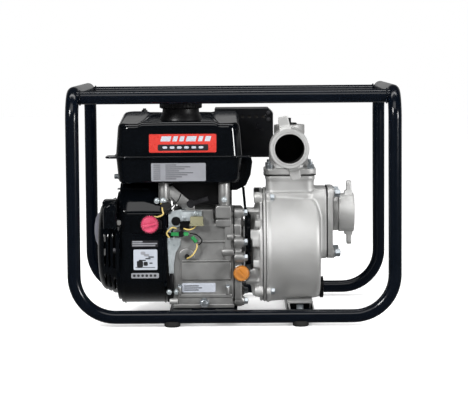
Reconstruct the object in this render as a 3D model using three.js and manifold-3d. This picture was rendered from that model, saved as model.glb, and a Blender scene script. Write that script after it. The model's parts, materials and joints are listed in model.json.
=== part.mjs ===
// A two-inch self-priming water pump driven by a small petrol engine, in a bent tube carrying frame.
// Millimetres. +X runs along the crankshaft from the recoil starter to the pump's suction port,
// +Y points away from the side that carries the discharge port, the switch and the dipstick,
// +Z is up, and the origin is on the ground below the middle of the frame.
import * as THREE from "three";
import { mergeVertices } from "three/addons/utils/BufferGeometryUtils.js";
import Module from "manifold-3d";

const wasm = await Module();
wasm.setup();

// ---- Driving dimensions ----------------------------------------------------------------------

const GAP = 0.3; // left between faces that touch
const TUBE = { radius: 11, wall: 1.8 };
const FRAME = {
  x: 264, // uprights, either side of the middle
  y: 189,
  railZ: 16,
  topZ: 384,
  footBend: 68,
  topBend: 45,
  seamX: -53.8, // the two bent loops meet here
  topRailY: 166,
  topRailZ: 377,
};
const FOOT = { radius: 13.5, height: 10, leftX: -103, rightX: 108.6 };
const FEET = [
  { name: "foot_front_left", x: FOOT.leftX, y: -FRAME.y },
  { name: "foot_front_right", x: FOOT.rightX, y: -FRAME.y },
  { name: "foot_rear_left", x: FOOT.leftX, y: FRAME.y },
  { name: "foot_rear_right", x: FOOT.rightX, y: FRAME.y },
];
const DECK = { top: 24, depth: 16, sheet: 3 }; // the cross members between the bottom rails
const PUMP_SEAT = { x0: 87, x1: 131, drop: 4, top: 33, sheet: 3.5 }; // member and bracket below the pump

const CRANK = { y: -70, z: 123, shaft: 12.5, pinOffset: 27, pin: 14, web: 34 };
const CYLINDER = { x: -52, tilt: THREE.MathUtils.degToRad(25), bore: 34, barrel: 46, deck: 140 };
const CASE = { x0: -103, x1: -1, wall: 5 };
const COVER = { x0: CASE.x1 + GAP, x1: 16 };
const SHROUD = { x0: -191, x1: -113, sheet: 2.5, fanHole: 72 };
const RECOIL = { face: -228.7, sheet: 2.5, ropeRadius: 60, ropeX: -205, rope: 2 };
const CAM = { module: 3, crankTeeth: 12, camTeeth: 24, x: -19, width: 8 };
CAM.drop = (CAM.module * (CAM.crankTeeth + CAM.camTeeth)) / 2;

const TANK = { x: -91, y: -65, seam: 277.8, bottom: 234, halfX: 105, halfY: 95, hem: 3, tab: 15 };
const NECK = { x: -88.6, y: -100, radius: 27 };

const CASING = { x0: 50, x1: 144, flange: 99, left: 97, right: 92, wall: 6 };
const PORT = { bore: 24.5, spigot: 27.4, nut: 32.7, ear: 54, nutLength: 26.7 };
const SUCTION = { z: 53.8, boxEnd: 155.4, plate: 8.5 }; // z above the crank axis
const DISCHARGE = { x: 92.4, z: 167.5, boxTop: 119.4, face: -95 };

const FINISH = {
  frameBlack: { color: 0x0c0d12, roughness: 0.25, metalness: 0.2 },
  glossBlack: { color: 0x08090c, roughness: 0.12, metalness: 0.1 },
  softBlack: { color: 0x141416, roughness: 0.6, metalness: 0 },
  rubber: { color: 0x101010, roughness: 0.85, metalness: 0 },
  castSilver: { color: 0xb4b4b4, roughness: 0.5, metalness: 0.9 },
  castGrey: { color: 0x8f8d88, roughness: 0.55, metalness: 0.8 },
  steel: { color: 0xa8a8a6, roughness: 0.35, metalness: 1 },
  zinc: { color: 0xc9cdd2, roughness: 0.3, metalness: 1 },
  iron: { color: 0x4a4a48, roughness: 0.7, metalness: 0.8 },
  orange: { color: 0xf08a10, roughness: 0.4, metalness: 0 },
  red: { color: 0xd81e35, roughness: 0.35, metalness: 0 },
};

// ---- Solids ----------------------------------------------------------------------------------

/** A closed three.js geometry as a manifold solid. */
function solidOf(geometry) {
  const bare = geometry.clone();
  bare.deleteAttribute("normal");
  bare.deleteAttribute("uv");
  const merged = mergeVertices(bare, 1e-4);
  const mesh = new wasm.Mesh({
    numProp: 3,
    vertProperties: merged.attributes.position.array,
    triVerts: new Uint32Array(merged.index.array),
  });
  return new wasm.Manifold(mesh);
}

/** A manifold solid as a three.js geometry. */
function geometryOf(solid) {
  const { vertProperties, triVerts } = solid.getMesh();
  const geometry = new THREE.BufferGeometry();
  geometry.setAttribute("position", new THREE.BufferAttribute(vertProperties, 3));
  geometry.setIndex(new THREE.BufferAttribute(triVerts, 1));
  return geometry;
}

function join(first, ...others) {
  return geometryOf(others.reduce((sum, g) => sum.add(solidOf(g)), solidOf(first)));
}

function cut(first, ...others) {
  return geometryOf(others.reduce((rest, g) => rest.subtract(solidOf(g)), solidOf(first)));
}

/** Lays a geometry that was made along +Y along the named axis, at (a, b) on the other two. */
function lay(axis, geometry, a, b) {
  if (axis === "x") return geometry.rotateZ(-Math.PI / 2).translate(0, a, b);
  if (axis === "y") return geometry.translate(a, 0, b);
  return geometry.rotateX(Math.PI / 2).translate(a, b, 0);
}

function block([x0, x1], [y0, y1], [z0, z1]) {
  const geometry = new THREE.BoxGeometry(x1 - x0, y1 - y0, z1 - z0);
  return geometry.translate((x0 + x1) / 2, (y0 + y1) / 2, (z0 + z1) / 2);
}

/** A round bar along an axis; its second radius makes it a cone. */
function bar(axis, radius, [from, to], [a, b] = [0, 0], sides = 16, endRadius = radius) {
  const geometry = new THREE.CylinderGeometry(endRadius, radius, to - from, sides);
  return lay(axis, geometry.translate(0, (from + to) / 2, 0), a, b);
}

/** A [radius, place along the axis] outline turned about the axis. It closes on itself. */
function turned(axis, outline, [a, b] = [0, 0], sides = 24) {
  const points = outline.map(([radius, place]) => new THREE.Vector2(radius, place));
  if (THREE.ShapeUtils.area(points) < 0) points.reverse();
  if (points[0].x > 0 || points.at(-1).x > 0) points.push(points[0].clone());
  return lay(axis, new THREE.LatheGeometry(points, sides), a, b);
}

/** A flat outline across an axis, made thick along it: (y, z) for x, (x, z) for y, (x, y) for z. */
function slab(axis, outline, [from, to], arcSteps = 2) {
  const isShape = outline instanceof THREE.Shape;
  const shape = isShape ? outline : new THREE.Shape(outline.map((p) => new THREE.Vector2(...p)));
  const start = axis === "y" ? -to : from;
  const options = { depth: to - from, bevelEnabled: false, curveSegments: arcSteps };
  const geometry = new THREE.ExtrudeGeometry(shape, options).translate(0, 0, start);
  if (axis === "z") return geometry;
  geometry.rotateX(Math.PI / 2);
  return axis === "y" ? geometry : geometry.rotateZ(Math.PI / 2);
}

function roundedRectangle([a0, a1], [b0, b1], radius) {
  const quarter = Math.PI / 2;
  const shape = new THREE.Shape();
  shape.absarc(a1 - radius, b0 + radius, radius, -quarter, 0);
  shape.absarc(a1 - radius, b1 - radius, radius, 0, quarter);
  shape.absarc(a0 + radius, b1 - radius, radius, quarter, 2 * quarter);
  shape.absarc(a0 + radius, b0 + radius, radius, 2 * quarter, 3 * quarter);
  return shape;
}

/**
 * A closed skin over rounded rectangles, one above the other: { z, x, y, radius, rise }.
 * x and y are half sizes, and rise is how much a ring climbs with y.
 */
function loft(sections, cornerSteps = 2) {
  const ring = ({ z, x, y, radius, rise = 0 }) => {
    const outline = roundedRectangle([-x, x], [-y, y], radius).getPoints(cornerSteps);
    return outline.slice(0, -1).map((p) => new THREE.Vector3(p.x, p.y, z + rise * p.y));
  };
  const rings = sections.map(ring);
  const count = rings[0].length;
  const points = rings.flat();
  const faces = [];
  for (let i = 0; i + 1 < rings.length; i++) {
    for (let k = 0; k < count; k++) {
      const [a, b] = [i * count + k, i * count + ((k + 1) % count)];
      faces.push(a, b, b + count, a, b + count, a + count);
    }
  }
  const top = (rings.length - 1) * count;
  for (let k = 1; k + 1 < count; k++) faces.push(0, k + 1, k, top, top + k, top + k + 1);
  const geometry = new THREE.BufferGeometry().setFromPoints(points);
  return geometry.setIndex(faces);
}

/** A pipe's centreline that keeps its own stations, so straight runs take one step and bends several. */
class PipeRoute extends THREE.Curve {
  constructor(stations) {
    super();
    this.stations = stations;
  }
  getPoint(t, target = new THREE.Vector3()) {
    const last = this.stations.length - 1;
    const i = Math.min(Math.floor(t * last), last - 1);
    return target.lerpVectors(this.stations[i], this.stations[i + 1], t * last - i);
  }
  getUtoTmapping(u) {
    return u;
  }
  getTangent(t, target = new THREE.Vector3()) {
    const last = this.stations.length - 1;
    const i = Math.round(t * last);
    const here = this.stations[i];
    const out = this.stations[Math.min(i + 1, last)].clone().sub(here).normalize();
    const back = here.clone().sub(this.stations[Math.max(i - 1, 0)]).normalize();
    return target.copy(out.add(back).normalize());
  }
}

/** Straight runs between corners, each inner corner { at, bend } rounded to its bend radius. */
function bentRoute(corners, bendSteps) {
  const stations = [corners[0].at];
  for (let i = 1; i + 1 < corners.length; i++) {
    const { at, bend } = corners[i];
    const back = corners[i - 1].at.clone().sub(at).normalize();
    const out = corners[i + 1].at.clone().sub(at).normalize();
    const halfAngle = back.angleTo(out) / 2;
    const reach = bend / Math.tan(halfAngle);
    const centre = back.clone().add(out).setLength(bend / Math.sin(halfAngle)).add(at);
    const start = back.multiplyScalar(reach).add(at).sub(centre);
    const end = out.multiplyScalar(reach).add(at).sub(centre);
    const sweep = start.angleTo(end);
    for (let k = 0; k <= bendSteps; k++) {
      const [a, b] = [Math.sin((1 - k / bendSteps) * sweep), Math.sin((k / bendSteps) * sweep)];
      const arm = start.clone().multiplyScalar(a).addScaledVector(end, b);
      stations.push(arm.divideScalar(Math.sin(sweep)).add(centre));
    }
  }
  stations.push(corners.at(-1).at);
  return new PipeRoute(stations);
}

/** A tube along a route; a wall thickness makes it hollow with open ends. */
function pipe(route, radius, wall = 0, halfSides = 5) {
  const section = new THREE.Shape().absarc(0, 0, radius, 0, 2 * Math.PI);
  if (wall) section.holes.push(new THREE.Path().absarc(0, 0, radius - wall, 0, 2 * Math.PI, true));
  const steps = route.stations.length - 1;
  return new THREE.ExtrudeGeometry(section, { steps, extrudePath: route, curveSegments: halfSides });
}

const vector = (x, y, z) => new THREE.Vector3(x, y, z);

/** Turns a geometry made with +Y along the cylinder's axis to the cylinder's tilt. */
const tilted = (geometry) => geometry.rotateX(CYLINDER.tilt);

// ---- Scene graph -----------------------------------------------------------------------------

const pump = new THREE.Group();
const engine = new THREE.Group(); // its own origin is on the crank axis, at the part's middle
engine.position.set(0, CRANK.y, CRANK.z);
const tank = new THREE.Group(); // its own origin is at the middle of the tank's seam
tank.position.set(TANK.x, TANK.y, TANK.seam);
pump.add(engine, tank);

function piece(parent, name, geometry, finish, [x, y, z] = [0, 0, 0]) {
  const material = new THREE.MeshStandardMaterial({ ...FINISH[finish], flatShading: true });
  const mesh = new THREE.Mesh(geometry, material);
  mesh.name = name;
  mesh.position.set(x, y, z);
  parent.add(mesh);
}

// ---- Frame -----------------------------------------------------------------------------------

function loopRoute(side) {
  const { x, y, railZ, topZ, footBend, topBend, seamX } = FRAME;
  const seam = seamX + (side * GAP) / 2;
  return bentRoute(
    [
      { at: vector(seam, -y, railZ) },
      { at: vector(side * x, -y, railZ), bend: footBend },
      { at: vector(side * x, -y, topZ), bend: topBend },
      { at: vector(side * x, y, topZ), bend: topBend },
      { at: vector(side * x, y, railZ), bend: footBend },
      { at: vector(seam, y, railZ) },
    ],
    4,
  );
}

/** The solid that clears the bent loops, for whatever is welded against them. */
const loopClearance = [-1, 1].map((side) => pipe(loopRoute(side), TUBE.radius + GAP));

function buildFrame() {
  piece(pump, "frame_loop_left", pipe(loopRoute(-1), TUBE.radius, TUBE.wall), "frameBlack");
  piece(pump, "frame_loop_right", pipe(loopRoute(1), TUBE.radius, TUBE.wall), "frameBlack");
  const reach = FRAME.x - 6;
  for (const [name, side] of [["front", -1], ["rear", 1]]) {
    const rail = bar("x", TUBE.radius, [-reach, reach], [side * FRAME.topRailY, FRAME.topRailZ], 12);
    piece(pump, `top_rail_${name}`, cut(rail, ...loopClearance), "frameBlack");
  }
}

function channel([x0, x1], top, depth, sheet) {
  const bottom = top - depth;
  const [in0, in1, under] = [x0 + sheet, x1 - sheet, top - sheet];
  const outline = [[x0, bottom], [in0, bottom], [in0, under], [in1, under], [in1, bottom], [x1, bottom]];
  const reach = FRAME.y - 4;
  const member = slab("y", [...outline, [x1, top], [x0, top]], [-reach, reach]);
  const footRoom = FEET.map(({ x, y }) => bar("z", FOOT.radius + GAP, [-1, FOOT.height + 1], [x, y]));
  return cut(member, ...loopClearance, ...footRoom);
}

function buildDeck() {
  const { top, depth, sheet } = DECK;
  piece(pump, "engine_crossmember_left", channel([-108, -72], top, depth, sheet), "frameBlack");
  piece(pump, "engine_crossmember_right", channel([-32, 4], top, depth, sheet), "frameBlack");
  const seat = PUMP_SEAT;
  const seatTop = top - seat.drop;
  const member = channel([seat.x0, seat.x1], seatTop, depth - seat.drop, sheet);
  piece(pump, "pump_crossmember", member, "frameBlack");
  const [from, to] = [seat.x0 + 1.4, seat.x1 - 0.6];
  const bracket = block([from, to], [-140, 0], [seatTop + GAP, seat.top]);
  const window = block([from + seat.sheet, to - seat.sheet], [-141, 1], [seatTop - 1, seat.top - seat.sheet]);
  const casingRoom = bar("x", CASING.left + GAP, [from - 1, to + 1], [CRANK.y, CRANK.z], 24);
  piece(pump, "pump_bracket", cut(bracket, window, casingRoom), "zinc");
  for (const { name, x, y } of FEET) {
    const stub = bar("z", FOOT.radius, [0, FOOT.height], [x, y], 12);
    const saddle = bar("x", TUBE.radius + GAP, [x - 20, x + 20], [y, FRAME.railZ], 10);
    piece(pump, name, cut(stub, saddle), "rubber");
  }
}

// ---- Engine castings -------------------------------------------------------------------------

/** The crankcase's (y, z) outline, drawn in from its outside by a wall thickness. */
function caseOutline(inset) {
  const [front, back, bottom, top] = [-75 + inset, 78 - inset, -98.4 + inset, 62 - inset];
  const below = [[front, -84], [-62, bottom], [70, bottom], [back, -88]];
  return [...below, [back, 20], [60, top], [-52, top], [front, 40]];
}

function buildCrankcase() {
  const { x0, x1, wall } = CASE;
  const { x, bore, barrel, deck } = CYLINDER;
  const inside = slab("x", caseOutline(wall), [x0 + wall, x1 + 1]);
  const fins = [];
  for (const place of [88, 100, 112, 124, 136]) {
    fins.push(tilted(block([x - 47, x + 47], [place, place + 3], [-50, 50])));
  }
  const body = join(
    slab("x", caseOutline(0), [x0, x1]),
    tilted(bar("y", barrel, [40, deck], [x, 0], 20)),
    block([x0, x1], [-80, -60], [-98.4, -91]),
    block([-88, -7], [-77, -70], [-61, -43]),
    ...fins,
  );
  const open = [
    inside,
    tilted(bar("y", bore, [30, deck + 1], [x, 0], 20)),
    bar("x", 26.3, [x0 - 1, x0 + wall + 1]),
  ];
  piece(engine, "crankcase", cut(body, ...open), "castGrey");

  const boltPlaces = [[-64, 60], [-77, 12], [-77, -14], [-66, -88], [66, -88], [70, 30]];
  const bosses = boltPlaces.map((place) => bar("x", 8, [COVER.x0, COVER.x1], place, 8));
  const plate = slab("x", caseOutline(0), [COVER.x0, COVER.x1 - 4]);
  const fillerBoss = bar("y", 11.4, [-79, -60], [11.4, -40.2], 12);
  const hub = bar("x", 44, [COVER.x0, COVER.x1], [0, 0], 20);
  const cover = join(plate, fillerBoss, hub, ...bosses);
  const fillerBore = bar("y", 7.5, [-80, -50], [11.4, -40.2], 8);
  const hollow = slab("x", caseOutline(8), [COVER.x0 - 1, COVER.x0 + 4]);
  const shaftBore = bar("x", CRANK.shaft + 1, [COVER.x0 - 1, COVER.x1 + 1]);
  const bearingSeat = bar("x", 26.3, [COVER.x0 - 1, COVER.x0 + 11]);
  piece(engine, "side_cover", cut(cover, fillerBore, hollow, shaftBore, bearingSeat), "castGrey");

  const bearing = (from, to) => {
    const inner = CRANK.shaft + GAP;
    return turned("x", [[inner, from], [26, from], [26, to], [inner, to]], [0, 0], 16);
  };
  piece(engine, "crank_bearing_left", bearing(x0, x0 + wall - GAP), "steel");
  piece(engine, "crank_bearing_right", bearing(COVER.x0 + GAP, COVER.x0 + 10.5), "steel");
}

function buildHead() {
  const { x, deck } = CYLINDER;
  const from = deck + GAP;
  const fins = [];
  for (const place of [from + 7, from + 15, from + 23]) {
    fins.push(block([x - 47, x + 47], [place, place + 3], [-50, 50]));
  }
  const head = join(block([x - 44, x + 44], [from, from + 30], [-44, 44]), ...fins);
  const plugWell = bar("z", 9, [-51, -30], [x, from + 15], 12);
  piece(engine, "cylinder_head", tilted(cut(head, plugWell)), "castGrey");

  const coverFrom = from + 30 + GAP;
  const coverPlan = (half, radius) => roundedRectangle([x - half, x + half], [-half, half], radius);
  const cover = slab("y", coverPlan(42, 12), [coverFrom, coverFrom + 22]);
  const dish = slab("y", coverPlan(39, 10), [coverFrom - 1, coverFrom + 18]);
  piece(engine, "rocker_cover", tilted(cut(cover, dish)), "castSilver");

  const plugOutline = [[0, -30.3], [7, -30.3], [7, -52], [4, -52], [4, -66], [0, -66]];
  const plug = turned("z", plugOutline, [x, from + 15], 10);
  piece(engine, "spark_plug", tilted(plug), "castSilver");
  const cap = join(
    bar("z", 10, [-76, -53], [x, from + 15], 12),
    block([x - 8, x + 8], [from - 15, from + 15], [-76, -60]),
  );
  const socket = bar("z", 4.4, [-67, -50], [x, from + 15], 10);
  piece(engine, "plug_cap", tilted(cut(cap, socket)), "rubber");
}

// ---- Crank train -----------------------------------------------------------------------------

/** A spur gear's outline with four points to a tooth, thinned a little for running clearance. */
function gearOutline(teeth, module, turn) {
  const pitch = (module * teeth) / 2;
  const [root, tip] = [pitch - 1.25 * module, pitch + module];
  const corners = [[root, -0.31], [tip, -0.11], [tip, 0.11], [root, 0.31]];
  const points = [];
  for (let i = 0; i < teeth; i++) {
    for (const [radius, share] of corners) {
      const angle = turn + ((i + share) * 2 * Math.PI) / teeth;
      points.push([radius * Math.cos(angle), radius * Math.sin(angle)]);
    }
  }
  return points;
}

function buildCrankTrain() {
  const { shaft, pin, pinOffset, web } = CRANK;
  const { x } = CYLINDER;
  const down = -Math.PI / 2;
  const gearSpan = [CAM.x, CAM.x + CAM.width];
  const [webReach, webThick] = [21, 12];
  const crank = join(
    bar("x", shaft, [-176, x - webReach + 1]),
    bar("x", web, [x - webReach, x - webReach + webThick], [0, 8], 20),
    bar("x", pin, [x - webReach + 1, x + webReach - 1], [0, pinOffset], 12),
    bar("x", web, [x + webReach - webThick, x + webReach], [0, 8], 20),
    bar("x", shaft, [x + webReach - 1, 58]),
    bar("x", 8, [57, 84], [0, 0], 12),
    slab("x", gearOutline(CAM.crankTeeth, CAM.module, down), gearSpan),
  );
  piece(engine, "crankshaft", crank, "steel");

  const mesh = Math.PI / CAM.camTeeth - down; // a gap of the cam gear faces a tooth of the crank gear
  const gear = slab("x", gearOutline(CAM.camTeeth, CAM.module, mesh), gearSpan);
  const lobe = (from, angle) => {
    const reach = [5 * Math.cos(angle), 5 * Math.sin(angle)];
    return join(bar("x", 9, [from, from + 8], [0, 0], 10), bar("x", 7, [from, from + 8], reach, 10));
  };
  const cam = join(bar("x", 6.5, [-97, -3], [0, 0], 10), lobe(-91, 0.4), lobe(-30, 2.2), gear);
  piece(engine, "camshaft", cam, "steel", [0, 0, -CAM.drop]);

  const discOutline = [[13, -172], [68, -172], [77, -160], [77, -128], [71, -128], [71, -154], [13, -154]];
  const disc = turned("x", discOutline);
  const vanes = [];
  for (let i = 0; i < 10; i++) {
    const vane = block([-182, -160], [-1.5, 1.5], [42, 76]).rotateX((i * Math.PI) / 5);
    vanes.push(vane);
  }
  piece(engine, "flywheel", join(disc, ...vanes), "castSilver");

  const backPlate = turned("x", [[8.3, 62], [58, 62], [58, 65], [18, 68], [18, 82], [8.3, 82]]);
  const blades = [];
  for (let i = 0; i < 6; i++) {
    const blade = block([64, 79], [14, 58], [-2, 2]).rotateX((i * Math.PI) / 3);
    blades.push(blade);
  }
  piece(engine, "impeller", join(backPlate, ...blades), "iron");
}

// ---- Blower housing and recoil starter -------------------------------------------------------

/** The blower housing's (y, z) outline: a scroll round the fan with a flat front and a tall back. */
function shroudOutline(inset) {
  const radius = 97 - inset;
  const front = -80 + inset;
  const top = 108 - inset;
  const shape = new THREE.Shape();
  const half = Math.asin(-front / radius);
  shape.absarc(0, 0, radius, Math.PI / 2 + half + 1.16, Math.PI * 1.5, false);
  shape.lineTo(50, -radius);
  shape.lineTo(88 - inset, -60);
  shape.lineTo(112 - inset, 30);
  shape.lineTo(112 - inset, top);
  shape.lineTo(-34, top);
  shape.lineTo(front, 60);
  return shape;
}

function buildShroud() {
  const { x0, x1, sheet, fanHole } = SHROUD;
  const skin = cut(
    slab("x", shroudOutline(0), [x0, x1], 4),
    slab("x", shroudOutline(sheet), [x0 + sheet, x1 + 1], 4),
    bar("x", fanHole, [x0 - 1, x0 + sheet + 1], [0, 0], 24),
    block([-128, x1 + 1], [-82, -46], [78, 110]),
  );
  const switchSeat = join(
    block([-158, -120], [-84, -79.5], [28, 62]),
    bar("y", 13, [-88, -80], [-140, 43.6], 14),
  );
  const switchBore = bar("y", 5, [-89, -70], [-140, 43.6], 10);
  piece(engine, "blower_shroud", cut(join(skin, switchSeat), switchBore), "glossBlack");

  const knob = join(
    turned("y", [[0, -90], [0, -89], [4.5, -89], [4.5, -80.5], [0, -80.5]], [0, 0], 10),
    turned("y", [[0, -88.4], [14.5, -88.4], [13.5, -95], [12, -98], [0, -98]], [0, 0], 16),
    block([-11.5, 11.5], [-102, -97], [-2.2, 2.2]).rotateY(THREE.MathUtils.degToRad(-14)),
  );
  piece(engine, "switch_knob", knob, "red", [-140, 0, 43.6]);
}

function buildRecoil() {
  const { face, sheet, ropeRadius, ropeX, rope } = RECOIL;
  const rim = SHROUD.x0 - GAP;
  const cup = turned("x", [
    [0, face], [58, face], [70, face + 4], [75, face + 9], [83.5, rim - 6], [92, rim - 4], [92, rim],
    [83.5 - sheet, rim], [75 - sheet, face + 9 + sheet], [56, face + sheet], [0, face + sheet],
  ]);
  const exit = block([ropeX - 16, -193], [-83, -50], [ropeRadius - 24, ropeRadius + 24]);
  const exitRoom = bar("x", 80.5, [face + 10, rim + 1], [0, 0], 24);
  const housing = cut(join(cup, cut(exit, exitRoom)), bar("y", rope + 1, [-90, -30], [ropeX, ropeRadius], 8));
  const post = bar("x", 6, [face + sheet - 1, -197], [0, 0], 10);
  piece(engine, "recoil_cover", join(housing, post), "glossBlack");

  const groove = ropeRadius - rope;
  const pulley = turned("x", [
    [6.4, -214], [66, -214], [66, -212], [groove, ropeX - rope - 1], [groove, ropeX + rope + 1],
    [66, -198], [66, -196.5], [6.4, -196.5],
  ]);
  piece(engine, "starter_pulley", pulley, "softBlack");

  const handle = slab("y", roundedRectangle([-12, 12], [-23, 23], 11), [-103, -84]);
  const knot = bar("y", 2.6, [-104, -97], [0, 0], 8);
  piece(engine, "starter_grip", cut(handle, knot), "softBlack", [ropeX, 0, ropeRadius]);
  piece(engine, "starter_rope", bar("y", rope, [-83.6, -2], [ropeX, ropeRadius], 8), "rubber");
}

// ---- Fuel tank -------------------------------------------------------------------------------

/** Rings round the tank, drawn in by a share of the sheet; the roof rises towards the back. */
const tankRing = (z, inset, radius, rise = 0) => {
  return { z, x: TANK.halfX - inset, y: TANK.halfY - inset, radius: Math.max(radius, 2), rise };
};

const upperSections = (sheet) => [
  tankRing(2, sheet, 21 - sheet),
  tankRing(52.5 - sheet, 3.4 + sheet, 21 - sheet, 0.08),
  tankRing(59 - sheet, 6 + sheet, 20 - sheet, 0.08),
  tankRing(62 - sheet, 12 + sheet, 17 - sheet, 0.08),
  tankRing(65.5 - sheet, 36, 8, 0.07),
];

const lowerSections = (sheet) => [
  tankRing(TANK.bottom - TANK.seam + sheet, 10 + sheet, 16 - sheet),
  tankRing(-38.5 + sheet / 2, 5.2 + sheet, 18 - sheet),
  tankRing(-30, 3.2 + sheet, 20 - sheet),
  tankRing(-2, sheet, 21 - sheet),
];

/** The pressed hem where the two tank shells meet, with a tab at each front corner. */
function tankHem(span) {
  const { halfX, halfY, hem, tab } = TANK;
  const tabs = [-1, 1].map((side) => {
    const reach = [side * (halfX - 20), side * (halfX + tab)].sort((a, b) => a - b);
    return slab("z", roundedRectangle(reach, [-halfY - 2, 44 - halfY], 9), span);
  });
  const plan = roundedRectangle([-halfX - hem, halfX + hem], [-halfY - hem, halfY + 8], 24);
  return join(slab("z", plan, span), ...tabs);
}

function buildTank() {
  const sheet = 2;
  const { halfX, halfY } = TANK;
  const opening = slab("z", roundedRectangle([2 - halfX, halfX - 2], [2 - halfY, halfY - 2], 19), [-5, 5]);
  const [neckX, neckY] = [NECK.x - TANK.x, NECK.y - TANK.y];
  const neckOutline = [[35, 54], [35, 66], [29, 70], [31, 78], [26, 78], [22, 54]];
  const upperSkin = cut(
    join(loft(upperSections(0)), tankHem([GAP / 2, 2.2])),
    loft(upperSections(sheet)),
    opening,
    bar("z", 24, [40, 75], [neckX, neckY], 18),
  );
  const neck = turned("z", neckOutline, [neckX, neckY], 18);
  const upper = cut(join(upperSkin, neck), bar("z", 22, [50, 80], [neckX, neckY], 18));
  piece(tank, "tank_upper", upper, "glossBlack");

  const lower = cut(
    join(loft(lowerSections(0)), tankHem([-2.2, -GAP / 2])),
    loft(lowerSections(sheet)),
    opening,
  );
  piece(tank, "tank_lower", lower, "glossBlack");

  const cap = join(
    turned("z", [[0, 79], [33, 78.4], [35.6, 80], [35.6, 88], [33.5, 90.5], [0, 90.5]], [0, 0], 20),
    bar("z", 20.5, [70, 80], [0, 0], 12),
  );
  piece(tank, "fuel_cap", cap, "softBlack", [neckX, neckY, 0]);
}

function buildTankPosts() {
  const top = TANK.bottom - CRANK.z - GAP;
  const strutRoute = bentRoute([{ at: vector(-117, -60, 98) }, { at: vector(-62, -28, 58) }], 1);
  const strut = join(bar("z", 9, [80, top], [-117.5, -60], 12), pipe(strutRoute, 7, 0, 4));
  const shell = slab("x", caseOutline(-GAP), [CASE.x0 - GAP, CASE.x1 + GAP]);
  piece(engine, "tank_post_left", cut(strut, shell), "castSilver");
  const right = join(bar("z", 9.5, [62, top], [-16.4, -66], 12), block([-31, -5], [-80, -46], [61, 73]));
  piece(engine, "tank_post_right", cut(right, shell), "castSilver");
}

// ---- Carburettor, air cleaner, exhaust -------------------------------------------------------

function buildIntake() {
  const body = join(
    block([-162, -112], [122, 158], [82, 112]),
    bar("z", 16, [62, 82.5], [-137, 140], 16),
    block([-112.5, -100], [126, 154], [84, 110]),
    bar("z", 14, [111, 138], [-150, 140], 16),
  );
  const throat = bar("z", 9, [90, 139], [-150, 140], 12);
  piece(engine, "carburettor", cut(body, throat), "castSilver");

  const [cx, cy] = [-160, 169];
  const tray = slab("z", roundedRectangle([cx - 44, cx + 44], [cy - 56, cy + 56], 16), [138.3, 150]);
  const hole = bar("z", 12, [138, 151], [-150, 140], 12);
  const stud = bar("z", 3, [149, 227], [cx, cy], 8);
  piece(engine, "air_cleaner_base", cut(join(tray, stud), hole), "softBlack");

  const skin = (inset) => [
    { z: 150.3 - (inset ? 1 : 0), x: 44 - inset, y: 56 - inset, radius: 16 - inset },
    { z: 205 - inset, x: 40 - inset, y: 52 - inset, radius: 16 - inset },
    { z: 219 - inset, x: 28 - inset, y: 40 - inset, radius: 14 - inset },
  ];
  const outer = loft(skin(0)).translate(cx, cy, 0);
  const inner = loft(skin(3)).translate(cx, cy, 0);
  piece(engine, "air_cleaner_cover", cut(outer, inner, bar("z", 3.4, [200, 230], [cx, cy], 8)), "softBlack");

  const nut = cut(bar("z", 5.8, [219.3, 224.3], [0, 0], 6), bar("z", 3.3, [219, 225], [0, 0], 8));
  piece(engine, "cleaner_nut", nut, "softBlack", [cx, cy, 0]);

  const lever = (x) => {
    const hub = bar("x", 5, [x, -162.3], [0, 0], 10);
    const arm = block([x, x + 2.6], [0, 34], [-3.5, 3.5]);
    return join(hub, arm, block([x - 8, x + 2.6], [30, 39], [-6, 6]));
  };
  piece(engine, "choke_lever", lever(-170), "softBlack", [0, 140, 104]);
  piece(engine, "fuel_lever", lever(-166.5), "softBlack", [0, 140, 86]);
}

function buildExhaust() {
  const can = slab("y", roundedRectangle([-32, 58], [146, 216], 12), [112, 206]);
  const inside = slab("y", roundedRectangle([-30, 56], [148, 214], 10), [114, 204]);
  const outlet = bar("y", 9, [205, 216], [40, 180], 12);
  const pipeIn = bar("z", 14, [100, 149], [-18, 126]);
  const bores = [bar("z", 11, [90, 150], [-18, 126], 12), bar("y", 7, [200, 220], [40, 180], 10)];
  const headRoom = tilted(block([-110, 10], [130, 200], [-60, 50 + GAP]));
  const body = cut(join(cut(can, inside), outlet, pipeIn), ...bores, headRoom);
  piece(engine, "muffler", body, "iron");

  const guardOutline = [[-34, 142], [68.5, 142], [68.5, 219], [60, 227], [-34, 227]];
  const roomOutline = [[-36, 144], [66.5, 144], [66.5, 218], [59, 225], [-36, 225]];
  const slots = [];
  for (let i = 0; i < 6; i++) {
    slots.push(block([-12 + i * 12, -6 + i * 12], [107, 112], [211, 216]));
  }
  const guard = cut(
    slab("y", guardOutline, [108, 214]),
    slab("y", roomOutline, [110, 216]),
    block([-36, 0], [108, 146], [140, 146]),
    ...slots,
  );
  piece(engine, "muffler_guard", guard, "softBlack");
}

// ---- Controls --------------------------------------------------------------------------------

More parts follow.
